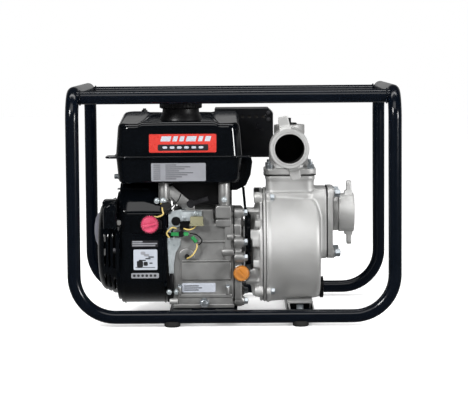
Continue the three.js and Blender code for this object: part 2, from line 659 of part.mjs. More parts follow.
function buildControls() {
  const base = cut(
    join(
      block([-99, -62], [-72, -70], [58.5, 86]),
      block([-99, -62], [-76, -52], [62.6, 65]),
    ),
    bar("y", 8, [-77, -69], [-88, 74], 12),
  );
  piece(engine, "control_plate", base, "zinc");

  const plate = (from, to, y, turn) => block([from, to], [y, y + 2], [-3.5, 3.5]).rotateY(turn);
  const throttle = join(bar("y", 7, [-75.6, -73.6], [0, 0], 12), plate(0, 30, -75.6, -0.3));
  const pinned = join(throttle, bar("y", 3, [-75, -72.3], [0, 0], 8));
  piece(engine, "throttle_lever", pinned, "zinc", [-72, 0, 76]);
  const arm = join(bar("z", 4, [62 + GAP, 92], [0, 0], 8), block([0, 34], [-3, 3], [90, 92]));
  piece(engine, "governor_arm", arm, "zinc", [-88, -22, 0]);

  const handle = join(
    turned("y", [[0, -79.3], [12.7, -79.3], [12.7, -84], [10, -87], [0, -87]], [0, 0], 18),
    block([-8, 8], [-92, -86], [-1.8, 1.8]).rotateY(THREE.MathUtils.degToRad(45)),
    bar("y", 6.8, [-80, -52], [0, 0], 10),
  );
  piece(engine, "dipstick", handle, "orange", [11.4, 0, -40.2]);
}

// ---- Pump ------------------------------------------------------------------------------------

const FLANGE_BOLTS = [[-34, 84], [-57, -72], [34, 84], [88, 0], [57, -72]];

function buildPumpCase() {
  const adapterOutline = [
    [44, 16.3], [44, 26], [80, 38], [80, 42.6], [CASING.flange - 3, 42.6], [CASING.flange - 3, 49.6],
    [30, 49.6], [22, 36], [15, 26], [15, 16.3],
  ];
  const lugs = FLANGE_BOLTS.map((place) => bar("x", 9, [34, 49.6], place, 8));
  const ribs = [];
  for (const turn of [0.7, 2.3, 3.9, 5.5]) {
    ribs.push(block([20, 46], [42, 84], [-4, 4]).rotateX(turn));
  }
  const adapter = join(turned("x", adapterOutline), ...lugs, ...ribs);
  piece(engine, "pump_adapter", cut(adapter, slab("x", caseOutline(-1), [10, 17])), "castSilver");

  const { x0, x1, left, right, wall, flange } = CASING;
  const outside = [
    [flange, x0], [flange, x0 + 4], [left, x0 + 4], [right, 126], [right - 3, x1 - 4], [right - 9, x1], [0, x1],
  ];
  const inside = [[0, x1 - wall], [right - 14, x1 - wall], [right - wall, 122], [left - wall, x0]];
  const drum = turned("x", [...outside, ...inside], [0, 0], 28);
  const neckBox = slab("z", roundedRectangle([52, 134.4], [-42, 42], 10), [70, DISCHARGE.boxTop]);
  const suctionBox = slab("x", roundedRectangle([-44, 44], [-22, 98], 14), [118, SUCTION.boxEnd]);
  const room = turned("x", [...inside, [left - wall, x0 - 1], [0, x0 - 1]], [0, 0], 28);
  const pads = FLANGE_BOLTS.map((place) => bar("x", 8, [x0, x0 + 12], place, 6));
  const body = join(
    drum,
    cut(join(neckBox, suctionBox, ...pads), room),
    bar("x", 16, [128, 144.2], [0, -74]),
    cut(block([90, 128], [-22, 22], [PUMP_SEAT.top + GAP - CRANK.z, -70]), room),
  );
  const casing = cut(
    body,
    bar("z", 26, [70, 121], [DISCHARGE.x, 0], 20),
    bar("x", 32, [x1 - wall - 20, 156], [0, SUCTION.z], 20),
    bar("x", 9, [120, 146], [0, -74], 12),
  );
  piece(engine, "pump_casing", casing, "castSilver");

  const scroll = [[72, 50], [76, 50], [76, 88], [40, 92], [24, 106], [20, 106], [20, 92], [38, 84], [72, 84]];
  piece(engine, "volute", turned("x", scroll), "iron");
  const seal = [[CRANK.shaft + 0.6, 40], [21, 40], [21, 44], [18, 57], [CRANK.shaft + 0.6, 57]];
  piece(engine, "shaft_seal", turned("x", seal, [0, 0], 20), "softBlack");
  const drain = join(
    bar("x", 17.6, [144.5, 151], [0, 0], 12),
    bar("x", 8.6, [126, 145], [0, 0], 12),
  );
  piece(engine, "drain_plug", drain, "softBlack", [0, 0, -74]);
}

/** A threaded ring nut with two lugs, along +Y from 0, its lugs turned from the upright. */
function lugNut(turn) {
  const { spigot, nut, ear, nutLength } = PORT;
  const rightSide = [[11.5, 28], [9.4, 36], [8.6, ear - 4], [6.6, ear]];
  const leftSide = rightSide.map(([across, up]) => [-across, up]).reverse();
  const ring = turned("y", [[spigot + GAP, 0], [nut, 0], [nut, nutLength], [spigot + GAP, nutLength]]);
  const lugs = [];
  for (const side of [1, -1]) {
    const lug = slab("y", [...rightSide, ...leftSide], [12, 23]);
    lugs.push(side > 0 ? lug : lug.rotateY(Math.PI));
  }
  const bore = bar("y", spigot + GAP, [-1, nutLength + 1], [0, 0], 24);
  return cut(join(ring, ...lugs), bore).rotateY(turn);
}

function buildPorts() {
  const { bore, spigot } = PORT;
  const { boxEnd, z, plate } = SUCTION;
  const gasketOutline = roundedRectangle([-43, 43], [-21, 99], 14);
  const gasket = slab("x", gasketOutline, [boxEnd + GAP, boxEnd + 1.5]);
  const portHole = bar("x", 30, [100, 210], [0, z], 20);
  piece(engine, "suction_gasket", cut(gasket, portHole), "rubber");

  const plateFrom = boxEnd + 1.5 + GAP;
  const plateTo = plateFrom + plate;
  const spigotEnd = plateTo + 37;
  const flange = cut(
    join(
      slab("x", roundedRectangle([-43, 43], [-22, 99.6], 16), [plateFrom, plateTo]),
      bar("x", 31, [plateTo - 1, plateTo + 10.5], [0, z], 24),
      bar("x", spigot, [plateTo, spigotEnd], [0, z], 24),
    ),
    bar("x", bore, [plateFrom - 1, spigotEnd + 1], [0, z], 24),
  );
  piece(engine, "suction_flange", flange, "castSilver");
  const suctionNut = lugNut(0).rotateZ(-Math.PI / 2);
  piece(engine, "suction_nut", suctionNut, "castSilver", [plateTo + 10.8, 0, z]);

  const flap = join(
    bar("x", 29, [0, 3], [0, -30], 20),
    block([0, 3], [-7, 7], [-10, -0.4]),
    bar("x", 14, [3, 7], [0, -30], 12),
  );
  piece(engine, "flap_valve", flap, "rubber", [147.5, 0, z + 30]);

  const { x, z: elbowZ, boxTop, face } = DISCHARGE;
  const seat = roundedRectangle([50, 138], [-42, 42], 12);
  const gasketTop = boxTop + 1.5;
  const upGasket = cut(slab("z", seat, [boxTop + GAP, gasketTop]), bar("z", 26, [100, 140], [x, 0], 20));
  piece(engine, "discharge_gasket", upGasket, "rubber");

  const plateBottom = gasketTop + GAP;
  const corner = { at: vector(x, 0, elbowZ), bend: 34 };
  const route = bentRoute([{ at: vector(x, 0, plateBottom) }, corner, { at: vector(x, -67, elbowZ) }], 5);
  const hollowEnds = [vector(x, 0, plateBottom - 1), vector(x, face - 1, elbowZ)];
  const hollow = bentRoute([{ at: hollowEnds[0] }, corner, { at: hollowEnds[1] }], 5);
  const elbow = cut(
    join(
      slab("z", seat, [plateBottom, plateBottom + 9.5]),
      pipe(route, 33, 0, 9),
      bar("y", spigot, [face + 0.4, -60], [x, elbowZ], 20),
      bar("z", 26, [elbowZ + 20, elbowZ + 36.5], [x + 1.6, 0]),
    ),
    pipe(hollow, bore, 0, 9),
    bar("z", 13, [elbowZ, elbowZ + 40], [x + 1.6, 0], 16),
  );
  piece(engine, "discharge_elbow", elbow, "castSilver");
  const dischargeNut = lugNut(THREE.MathUtils.degToRad(-12)).translate(0, -67.6 - PORT.nutLength, 0);
  piece(engine, "discharge_nut", dischargeNut, "castSilver", [x, 0, elbowZ]);

  const plug = join(
    bar("z", 12.6, [22, 37.2], [0, 0], 14),
    bar("z", 15, [36.8, 41], [0, 0], 14),
    block([-4, 4], [-10, 10], [40, 45.5]),
  );
  piece(engine, "priming_plug", plug, "softBlack", [x + 1.6, 0, elbowZ]);
}

buildFrame();
buildDeck();
buildCrankcase();
buildHead();
buildCrankTrain();
buildShroud();
buildRecoil();
buildTank();
buildTankPosts();
buildIntake();
buildExhaust();
buildControls();
buildPumpCase();
buildPorts();

export default pump;
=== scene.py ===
"""The looks of an engine driven water pump in a tube frame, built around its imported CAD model."""

import json
import math

import bmesh
import bpy
from mathutils import Euler, Matrix, Vector


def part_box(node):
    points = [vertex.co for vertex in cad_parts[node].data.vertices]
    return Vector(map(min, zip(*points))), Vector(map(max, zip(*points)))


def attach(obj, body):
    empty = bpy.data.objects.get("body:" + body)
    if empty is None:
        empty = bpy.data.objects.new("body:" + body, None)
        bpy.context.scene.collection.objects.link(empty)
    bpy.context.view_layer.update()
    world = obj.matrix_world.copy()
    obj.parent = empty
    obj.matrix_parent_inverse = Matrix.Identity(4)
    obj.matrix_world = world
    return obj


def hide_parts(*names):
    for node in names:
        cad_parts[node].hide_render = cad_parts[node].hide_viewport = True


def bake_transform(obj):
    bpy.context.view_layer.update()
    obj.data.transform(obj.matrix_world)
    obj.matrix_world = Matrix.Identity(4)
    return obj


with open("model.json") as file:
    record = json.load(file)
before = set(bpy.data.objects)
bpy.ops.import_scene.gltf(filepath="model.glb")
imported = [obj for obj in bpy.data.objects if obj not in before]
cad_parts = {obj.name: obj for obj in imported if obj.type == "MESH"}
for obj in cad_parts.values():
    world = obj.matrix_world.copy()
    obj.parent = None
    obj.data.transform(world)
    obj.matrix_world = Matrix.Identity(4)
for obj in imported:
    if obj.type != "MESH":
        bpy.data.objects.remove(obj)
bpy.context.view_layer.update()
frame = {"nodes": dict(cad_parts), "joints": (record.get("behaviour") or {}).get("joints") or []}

MM = 0.001
AXES = "xyz"
POINT_RADIUS = 0.02  # a ring this small is welded into a point
WELD_GAP = 0.03
SHARP_EDGE = 40  # degrees; the edges that a bevel rounds
BEND_STEPS = 14
CURVE_STEPS = 8


def joint_place(name):
    """A joint's place in millimetres."""
    joint = next(j for j in frame["joints"] if j["name"] == name)
    return Vector(joint["pos_m"]) / MM


def node_box(node):
    """A CAD node's lowest and highest corner in millimetres."""
    low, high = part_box(node)
    return Vector(low) / MM, Vector(high) / MM


CRANK = Vector((0, joint_place("crank_spin").y, joint_place("crank_spin").z))
SUCTION_Z = joint_place("suction_nut_turn").z
DISCHARGE = joint_place("discharge_nut_turn")
TANK_SEAM = node_box("tank_upper")[0].z
CYLINDER_TILT = 25


# ---- Shapes: a shape is (points, faces) in millimetres ---------------------------------------


def merged(shapes):
    points, faces = [], []
    for shape_points, shape_faces in shapes:
        first = len(points)
        points += shape_points
        faces += [[first + i for i in face] for face in shape_faces]
    return points, faces


def moved(shape, offset=(0, 0, 0), turn=Matrix.Identity(3)):
    """The shape turned by a matrix about the origin and then moved."""
    points, faces = shape
    return [turn @ p + Vector(offset) for p in points], faces


def turn_about(axis, degrees):
    return Matrix.Rotation(math.radians(degrees), 3, axis.upper())


def spun(shape, axis, degrees):
    return moved(shape, turn=turn_about(axis, degrees))


def along(axis, u, v, w):
    """A point whose place along the axis is w, and (u, v) on the other two in x, y, z order."""
    place = [u, v]
    place.insert(AXES.index(axis), w)
    return Vector(place)


def skin(rings, closed_rings=False, caps=True):
    """Joins rings of equal length into a skin; caps close its ends."""
    count = len(rings[0])
    points = [Vector(p) for ring in rings for p in ring]
    faces = []
    pairs = len(rings) if closed_rings else len(rings) - 1
    for i in range(pairs):
        base, upper = i * count, ((i + 1) % len(rings)) * count
        for k in range(count):
            m = (k + 1) % count
            faces.append([base + k, base + m, upper + m, upper + k])
    if caps and not closed_rings:
        top = (len(rings) - 1) * count
        faces.append(list(range(count))[::-1])
        faces.append([top + k for k in range(count)])
    return points, faces


def arc(radius, angles, centre=(0, 0)):
    return [(centre[0] + radius * math.cos(a), centre[1] + radius * math.sin(a)) for a in angles]


def turned(axis, outline, centre=(0, 0), sides=64):
    """A [radius, place] outline turned about the axis. It ends on the axis or closes on itself."""
    angles = [2 * math.pi * k / sides for k in range(sides)]
    rings = []
    for radius, place in outline:
        rings.append([along(axis, u, v, place) for u, v in arc(max(radius, POINT_RADIUS), angles, centre)])
    closed = outline[0][0] > 0 and outline[-1][0] > 0
    return skin(rings, closed_rings=closed)


def bar(axis, radius, span, centre=(0, 0), sides=32, bevel=0.0):
    """A round bar with an optional small chamfer at both ends."""
    start, end = span
    outline = [(radius, start), (radius, end)]
    if bevel:
        outline = [(radius - bevel, start), (radius, start + bevel)]
        outline += [(radius, end - bevel), (radius - bevel, end)]
    return turned(axis, [(0, start), *outline, (0, end)], centre, sides)


def ring(axis, outer, inner, span, centre=(0, 0), sides=48, bevel=0.6):
    start, end = span
    outline = [(inner, start), (outer - bevel, start), (outer, start + bevel)]
    outline += [(outer, end - bevel), (outer - bevel, end), (inner, end)]
    return turned(axis, outline, centre, sides)


def slab(axis, outline, span):
    """A flat outline made thick along an axis."""
    return skin([[along(axis, u, v, w) for u, v in outline] for w in span])


def block(x, y, z):
    return slab("z", [(x[0], y[0]), (x[1], y[0]), (x[1], y[1]), (x[0], y[1])], z)


def rounded_rectangle(u, v, radius, steps=6):
    corners = [(u[1], v[0], -90), (u[1], v[1], 0), (u[0], v[1], 90), (u[0], v[0], 180)]
    outline = []
    for corner_u, corner_v, start in corners:
        centre_u = corner_u - math.copysign(radius, corner_u - (u[0] + u[1]) / 2)
        centre_v = corner_v - math.copysign(radius, corner_v - (v[0] + v[1]) / 2)
        angles = [math.radians(start + 90 * k / steps) for k in range(steps + 1)]
        outline += arc(radius, angles, (centre_u, centre_v))
    return outline


def rounded_block(axis, u, v, span, radius, edge=1.0):
    """A rounded rectangle made thick, its two faces drawn in by a small edge."""
    start, end = span
    rings = []
    for inset, place in ((edge, start), (0, start + edge), (0, end - edge), (edge, end)):
        inner_u = (u[0] + inset, u[1] - inset)
        inner_v = (v[0] + inset, v[1] - inset)
        outline = rounded_rectangle(inner_u, inner_v, radius - inset)
        rings.append([along(axis, a, b, place) for a, b in outline])
    return skin(rings)


def sweep(path, radius, sides=20, caps=True, closed=False):
    """A round tube along points, its section carried without twist."""
    path = [Vector(p) for p in path]
    count = len(path)
    angles = [2 * math.pi * k / sides for k in range(sides)]
    rings = []
    normal = None
    for i, here in enumerate(path):
        before = path[i - 1] if i or closed else here
        after = path[(i + 1) % count] if i + 1 < count or closed else here
        back = (here - before).normalized() if here != before else (after - here).normalized()
        out = (after - here).normalized() if after != here else back
        tangent = (back + out).normalized()
        if normal is None:
            normal = tangent.orthogonal().normalized()
        normal = (normal - tangent * normal.dot(tangent)).normalized()
        side = tangent.cross(normal)
        size = radius(i / (count - 1)) if callable(radius) else radius
        rings.append([here + size * (math.cos(a) * normal + math.sin(a) * side) for a in angles])
    return skin(rings, closed_rings=closed, caps=caps)


def rounded_path(corners):
    """Straight runs between (point, bend radius) corners, each inner corner rounded by an arc."""
    path = [Vector(corners[0][0])]
    for before, (here, bend), after in zip(corners, corners[1:], corners[2:]):
        here = Vector(here)
        back = (Vector(before[0]) - here).normalized()
        out = (Vector(after[0]) - here).normalized()
        half = back.angle(out) / 2
        centre = here + (back + out).normalized() * bend / math.sin(half)
        start = here + back * bend / math.tan(half) - centre
        end = here + out * bend / math.tan(half) - centre
        path += [centre + start.slerp(end, k / BEND_STEPS) * bend for k in range(BEND_STEPS + 1)]
    return path + [Vector(corners[-1][0])]


def smooth_path(points):
    """A Catmull-Rom curve through given points."""
    points = [Vector(p) for p in points]
    ends = [2 * points[0] - points[1]] + points + [2 * points[-1] - points[-2]]
    path = []
    for a, b, c, d in zip(ends, ends[1:], ends[2:], ends[3:]):
        for t in (k / CURVE_STEPS for k in range(CURVE_STEPS)):
            path.append(0.5 * (2 * b + (c - a) * t + (2 * a - 5 * b + 4 * c - d) * t**2
                               + (3 * b - a - 3 * c + d) * t**3))
    return path + [points[-1]]


def bolt(axis, place, across, head, direction=1, washer=1.4):
    """A hexagon flange bolt's head standing on a place, facing along the axis or against it."""
    centre = list(place)
    level = centre.pop(AXES.index(axis))
    flange = across * 0.62

    def lifted(outline):
        return [(r, level + direction * h) for r, h in outline]

    foot = [(0, 0), (flange, 0), (flange, washer * 0.6), (flange * 0.92, washer), (0, washer)]
    crown = [(0, head - 0.1), (across * 0.42, head), (across * 0.3, head + 0.7), (0, head + 0.8)]
    hexagon = arc(across / 2 / math.cos(math.pi / 6), [math.radians(60 * k) for k in range(6)], centre)
    return merged([
        turned(axis, lifted(foot), centre, 24),
        slab(axis, hexagon, (level + direction * washer * 0.8, level + direction * head)),
        turned(axis, lifted(crown), centre, 18),
    ])


# ---- Objects ---------------------------------------------------------------------------------


def mesh_of(name, shape):
    points, faces = shape
    mesh = bpy.data.meshes.new(name)
    mesh.from_pydata([p * MM for p in points], [], faces)
    work = bmesh.new()
    work.from_mesh(mesh)
    bmesh.ops.remove_doubles(work, verts=work.verts, dist=WELD_GAP * MM)
    bmesh.ops.recalc_face_normals(work, faces=work.faces)
    work.to_mesh(mesh)
    work.free()
    return mesh


def added(name, data):
    obj = bpy.data.objects.new(name, data)
    bpy.context.scene.collection.objects.link(obj)
    return obj


def applied(obj):
    """Bakes an object's modifiers into a new mesh."""
    depsgraph = bpy.context.evaluated_depsgraph_get()
    mesh = bpy.data.meshes.new_from_object(obj.evaluated_get(depsgraph))
    obj.modifiers.clear()
    old = obj.data
    obj.data = mesh
    bpy.data.meshes.remove(old)


def add_bevel(obj, width):
    edge = obj.modifiers.new("edge", "BEVEL")
    edge.width = width * MM
    edge.segments = 2
    edge.limit_method = "ANGLE"
    edge.angle_limit = math.radians(SHARP_EDGE)


def add_remesh(obj, voxel):
    fuse = obj.modifiers.new("fuse", "REMESH")
    fuse.mode = "VOXEL"
    fuse.voxel_size = voxel * MM


def add_cut(obj, shape, solver):
    """Cuts a shape out of the object, and returns the tool so that it can be removed."""
    tool = added("cutting_tool", mesh_of("tool", shape))
    cut = obj.modifiers.new("cut", "BOOLEAN")
    cut.operation = "DIFFERENCE"
    cut.solver = solver
    cut.object = tool
    return tool


def settle(obj, look, body, replaces=(), bevel=0.0, angle=35):
    """Gives a finished piece its material, its body and what it stands for."""
    obj.data.materials.clear()
    obj.data.materials.append(look[0])
    if bevel:
        add_bevel(obj, bevel)
        applied(obj)
    obj.data.shade_smooth()
    bpy.context.view_layer.objects.active = obj
    obj.select_set(True)
    bpy.ops.object.shade_smooth_by_angle(angle=math.radians(angle))
    obj.select_set(False)
    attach(obj, body)
    if replaces:
        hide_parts(*replaces)
    return obj


def piece(name, shapes, look, body="frame", replaces=(), bevel=0.0, angle=35, place=(0, 0, 0)):
    """A piece made of one shape, or of a list of them, moved to a place."""
    shape = merged(shapes) if isinstance(shapes, list) else shapes
    obj = added(name, mesh_of(name, moved(shape, place)))
    return settle(obj, look, body, replaces, bevel, angle)


def casting(name, solids, holes, look, body="frame", replaces=(), voxel=1.6, rounds=4, place=(0, 0, 0)):
    """Overlapping solids fused into one casting with filleted corners, then bored."""
    obj = added(name, mesh_of(name, moved(merged(solids), place)))
    add_remesh(obj, voxel)
    applied(obj)
    tools = [add_cut(obj, moved(hole, place), "MANIFOLD") for hole in holes]
    applied(obj)
    add_remesh(obj, voxel)
    soften = obj.modifiers.new("soften", "SMOOTH")
    soften.factor = 0.5
    soften.iterations = rounds
    applied(obj)
    for tool in tools:
        bpy.data.objects.remove(tool)
    return settle(obj, look, body, replaces, angle=60)


def carved(name, shape, cutters, look, replaces=(), bevel=0.0):
    """A sheet piece cut exactly by a list of solids, all in crank coordinates."""
    obj = added(name, mesh_of(name, moved(shape, CRANK)))
    for cutter in cutters:
        tool = add_cut(obj, moved(cutter, CRANK), "EXACT")
        applied(obj)
        bpy.data.objects.remove(tool)
    return settle(obj, look, "frame", replaces, bevel)


def tube_piece(name, points, radius, look, sides=12, place=(0, 0, 0)):
    """A wire or hose along a smooth curve through given points."""
    piece(name, sweep(smooth_path(points), radius, sides), look, place=place)


# ---- Materials: a look is (material, the record's material slot) -----------------------------


def new_material(name):
    material = bpy.data.materials.new(name)
    material.use_nodes = True
    return material, material.node_tree.nodes["Principled BSDF"]


def set_inputs(node, **values):
    for socket, value in values.items():
        node.inputs[socket.replace("_", " ")].default_value = value


def noise_value(tree, place, scale, detail, stretch=None):
    """A noise texture's value over object coordinates, optionally stretched."""
    if stretch:
        mapping = tree.nodes.new("ShaderNodeMapping")
        set_inputs(mapping, Scale=stretch)
        tree.links.new(place, mapping.inputs["Vector"])
        place = mapping.outputs["Vector"]
    texture = tree.nodes.new("ShaderNodeTexNoise")
    set_inputs(texture, Scale=scale, Detail=detail)
    tree.links.new(place, texture.inputs["Vector"])
    return texture.outputs["Fac"]


def spread(tree, value, low, high, start=0.3, end=0.7):
    """Maps a value's range from start to end, by default the middle of a noise, to low to high."""
    mapped = tree.nodes.new("ShaderNodeMapRange")
    set_inputs(mapped, From_Min=start, From_Max=end, To_Min=low, To_Max=high)
    tree.links.new(value, mapped.inputs["Value"])
    return mapped.outputs["Result"]


def tinted(tree, value, dark, light):
    """A colour that runs from dark to light with the middle of a noise."""
    ramp = tree.nodes.new("ShaderNodeValToRGB")
    for element, position, colour in zip(ramp.color_ramp.elements, (0.3, 0.7), (dark, light)):
        element.position = position
        element.color = (*colour, 1)
    tree.links.new(value, ramp.inputs["Fac"])
    return ramp.outputs["Color"]


def bump(tree, height, distance_mm):
    node = tree.nodes.new("ShaderNodeBump")
    set_inputs(node, Strength=1.0, Distance=distance_mm * MM)
    tree.links.new(height, node.inputs["Height"])
    return node


def finish(slot, name, dark, light, rough, metallic=0.0, grain=1500, grain_mm=0.03, blotch=30.0,
           specular=0.5, wave_mm=0.0, stretch=None):
    """A look: blotchy colour, uneven roughness, a fine grain and, on paint, a slow waviness."""
    material, shader = new_material(name)
    tree = material.node_tree
    place = tree.nodes.new("ShaderNodeTexCoord").outputs["Object"]
    patches = noise_value(tree, place, blotch, 5.0)
    fine = bump(tree, noise_value(tree, place, grain, 3.0, stretch), grain_mm)
    set_inputs(shader, Metallic=metallic, Specular_IOR_Level=specular)
    tree.links.new(tinted(tree, patches, dark, light), shader.inputs["Base Color"])
    tree.links.new(spread(tree, patches, *rough), shader.inputs["Roughness"])
    tree.links.new(fine.outputs["Normal"], shader.inputs["Normal"])
    if wave_mm:
        waves = bump(tree, noise_value(tree, place, 45.0, 1.0), wave_mm)
        tree.links.new(waves.outputs["Normal"], fine.inputs["Normal"])
    return material, slot


FRAME_BLACK = finish("frame_black", "frame_black", (0.0008, 0.0018, 0.0038), (0.0013, 0.0025, 0.005),
                     (0.15, 0.2), grain=160, grain_mm=0.0008, specular=0.3, wave_mm=0.002)
GLOSS_BLACK = finish("gloss_black", "gloss_black", (0.0008, 0.0012, 0.0018), (0.0013, 0.0018, 0.0026),
                     (0.05, 0.1), grain=1800, grain_mm=0.0003, specular=0.3, wave_mm=0.007)
HEAT_BLACK = finish("heat_black", "heat_black", (0.001, 0.0013, 0.0022), (0.0016, 0.002, 0.003),
                    (0.26, 0.38), grain=2500, grain_mm=0.006, specular=0.3)
SOFT_BLACK = finish("soft_black", "soft_black", (0.002, 0.002, 0.0024), (0.004, 0.004, 0.0046),
                    (0.3, 0.44), grain=2600, grain_mm=0.01, specular=0.3)
RUBBER = finish("rubber", "rubber_black", (0.006, 0.006, 0.006), (0.011, 0.011, 0.01),
                (0.55, 0.75), grain=1600, specular=0.25)
ROPE = finish("rope", "rope_fibre", (0.02, 0.02, 0.02), (0.06, 0.06, 0.06),
              (0.7, 0.9), grain=1400, grain_mm=0.2, specular=0.2)
CAST_SILVER = finish("cast_silver", "cast_silver", (0.47, 0.47, 0.46), (0.56, 0.56, 0.555),
                     (0.5, 0.64), 0.8, grain_mm=0.035, blotch=14)
CAST_GREY = finish("cast_grey", "cast_grey", (0.26, 0.26, 0.255), (0.38, 0.38, 0.375),
                   (0.36, 0.5), 0.85, grain=1300, grain_mm=0.04)
STEEL = finish("steel", "machined_steel", (0.4, 0.4, 0.4), (0.52, 0.52, 0.5),
               (0.2, 0.34), 1.0, grain=700, grain_mm=0.01, stretch=(1, 8, 8))
DARK_STEEL = finish("steel", "dark_steel", (0.03, 0.03, 0.033), (0.06, 0.06, 0.065),
                    (0.3, 0.45), 0.8, grain=900, grain_mm=0.01)
ZINC = finish("zinc", "bright_zinc", (0.34, 0.38, 0.41), (0.58, 0.62, 0.65),
              (0.26, 0.42), 0.9, grain=600, grain_mm=0.02, blotch=120)
PALE_ZINC = finish("zinc", "pale_zinc", (0.27, 0.31, 0.32), (0.50, 0.54, 0.56),
                   (0.24, 0.4), 0.6, grain=300, grain_mm=0.04, blotch=45)
IRON = finish("iron", "cast_iron", (0.02, 0.02, 0.02), (0.05, 0.046, 0.042),
              (0.55, 0.8), 0.6, grain=900, grain_mm=0.08)
ORANGE = finish("orange_plastic", "orange_plastic", (0.29, 0.10, 0.012), (0.38, 0.145, 0.02),
                (0.24, 0.36), grain=1800, grain_mm=0.008)
RED = finish("red_plastic", "red_plastic", (0.34, 0.03, 0.07), (0.43, 0.05, 0.10),
             (0.2, 0.32), grain=1800, grain_mm=0.008)
LABEL_RED = finish("label_red", "label_red", (0.34, 0.020, 0.014), (0.38, 0.025, 0.018),
                   (0.22, 0.3), grain=1200, grain_mm=0.001)
LABEL_SILVER = finish("label_silver", "label_silver", (0.17, 0.175, 0.19), (0.21, 0.215, 0.235),
                      (0.35, 0.45), 0.15, grain_mm=0.001)
LABEL_WHITE = finish("label_silver", "label_white", (0.27, 0.29, 0.33), (0.32, 0.34, 0.38),
                     (0.3, 0.4), grain_mm=0.001)
LABEL_INK = finish("label_silver", "label_ink", (0.006, 0.006, 0.007), (0.012, 0.012, 0.014),
                   (0.35, 0.45), grain_mm=0.001, specular=0.3)
WIRE_YELLOW = finish("wire_yellow", "wire_yellow", (0.36, 0.27, 0.07), (0.46, 0.35, 0.12),
                     (0.4, 0.5), grain_mm=0.005)
GREEN = finish("connector_green", "connector_green", (0.006, 0.12, 0.03), (0.012, 0.18, 0.045),
               (0.25, 0.4), grain_mm=0.005)
BEIGE = finish("beige_plastic", "connector_beige", (0.13, 0.125, 0.07), (0.19, 0.18, 0.11),
               (0.4, 0.5), grain_mm=0.01)
BADGE_GREY = finish("cast_grey", "badge_grey", (0.10, 0.10, 0.12), (0.15, 0.15, 0.18),
                    (0.34, 0.46), 0.3, grain_mm=0.005)


# ---- Camera, floor and light, in metres ------------------------------------------------------

CAMERA_PLACE = (0.0166, -3.2483, 0.4641)
CAMERA_LENS = 144.1
CAMERA_PITCH = -4.94
CAMERA_YAW = 0.31
CAMERA_ROLL = -0.44
LIT_PLACE = Vector((0, 0, 0.2))


def build_camera():
    data = bpy.data.cameras.new("camera")
    data.lens = CAMERA_LENS
    data.sensor_width = 36
    camera = added("camera", data)
    camera.location = CAMERA_PLACE
    facing = Euler((math.radians(90 + CAMERA_PITCH), 0, math.radians(CAMERA_YAW))).to_matrix()
    camera.rotation_euler = (facing @ turn_about("z", CAMERA_ROLL)).to_euler()
    bpy.context.scene.camera = camera


def area_light(name, place, size, power):
    data = bpy.data.lights.new(name, "AREA")
    data.energy = power
    data.shape = "RECTANGLE"
    data.size, data.size_y = size
    light = added(name, data)
    light.location = place
    light.rotation_euler = (LIT_PLACE - Vector(place)).to_track_quat("-Z", "Y").to_euler()


def build_world():
    """White where the camera sees it, dim in mirrors in front, and an even soft light elsewhere."""
    world = bpy.data.worlds.new("studio")
    bpy.context.scene.world = world
    world.use_nodes = True
    tree = world.node_tree
    nodes, links = tree.nodes, tree.links

    def chosen(ray, otherwise, when):
        """One strength for a kind of ray and another for the rest."""
        mix = nodes.new("ShaderNodeMix")
        links.new(path.outputs[ray], mix.inputs["Factor"])
        for socket, strength in (("A", otherwise), ("B", when)):
            if isinstance(strength, float):
                mix.inputs[socket].default_value = strength
            else:
                links.new(strength, mix.inputs[socket])
        return mix.outputs["Result"]

    path = nodes.new("ShaderNodeLightPath")
    split = nodes.new("ShaderNodeSeparateXYZ")
    links.new(nodes.new("ShaderNodeTexCoord").outputs["Generated"], split.inputs[0])
    mirrored = nodes.new("ShaderNodeMath")
    mirrored.operation = "MULTIPLY"
    links.new(spread(tree, split.outputs["Y"], 0.08, 0.38, 0.25, 0.8), mirrored.inputs[0])
    links.new(spread(tree, split.outputs["Z"], 1.0, 0.12, 0.2, 0.42), mirrored.inputs[1])
    strength = chosen("Is Glossy Ray", 0.72, mirrored.outputs[0])
    strength = chosen("Is Camera Ray", strength, 1.0)
    set_inputs(nodes["Background"], Color=(1, 1, 1, 1))
    links.new(strength, nodes["Background"].inputs["Strength"])


def build_studio():
    floor = added("floor", mesh_of("floor", block((-9000, 9000), (-9000, 9000), (-20, -0.2))))
    material, shader = new_material("floor_pale")
    set_inputs(shader, Base_Color=(0.93, 0.93, 0.93, 1), Roughness=0.8, Specular_IOR_Level=0.1,
               Emission_Color=(1, 1, 1, 1), Emission_Strength=0.35)
    floor.data.materials.append(material)
    floor.visible_glossy = False
    build_world()
    area_light("strobe_left", (-1.55, -2.2, 1.66), (0.45, 0.6), 62)
    area_light("strobe_right", (2.2, -1.95, 0.85), (0.35, 0.75), 50)
    area_light("overhead", (0.0, 0.1, 2.3), (2.4, 0.35), 22)
    area_light("front_top", (-0.2, -2.1, 2.5), (2.0, 1.3), 24)
    bpy.context.scene.view_settings.view_transform = "Standard"


# ---- Tube frame ------------------------------------------------------------------------------

TUBE_RADIUS = 11
UPRIGHT = Vector((264, 189, 0))
RAIL_Z = 16
LOOP_TOP = 384
FOOT_BEND, TOP_BEND = 68, 45
SEAM_X = -53.8
SEAM_GAP = 0.2
TOP_RAIL_Y, TOP_RAIL_Z = 166, 377


def loop_path(side):
    """One end loop, from the front seam round the end of the machine to the rear seam."""
    x, y = side * UPRIGHT.x, UPRIGHT.y
    seam = SEAM_X + side * SEAM_GAP / 2
    half = [((seam, -y, RAIL_Z), 0), ((x, -y, RAIL_Z), FOOT_BEND), ((x, -y, LOOP_TOP), TOP_BEND)]
    mirrored = [((px, -py, pz), bend) for (px, py, pz), bend in reversed(half)]
    return rounded_path(half + mirrored)


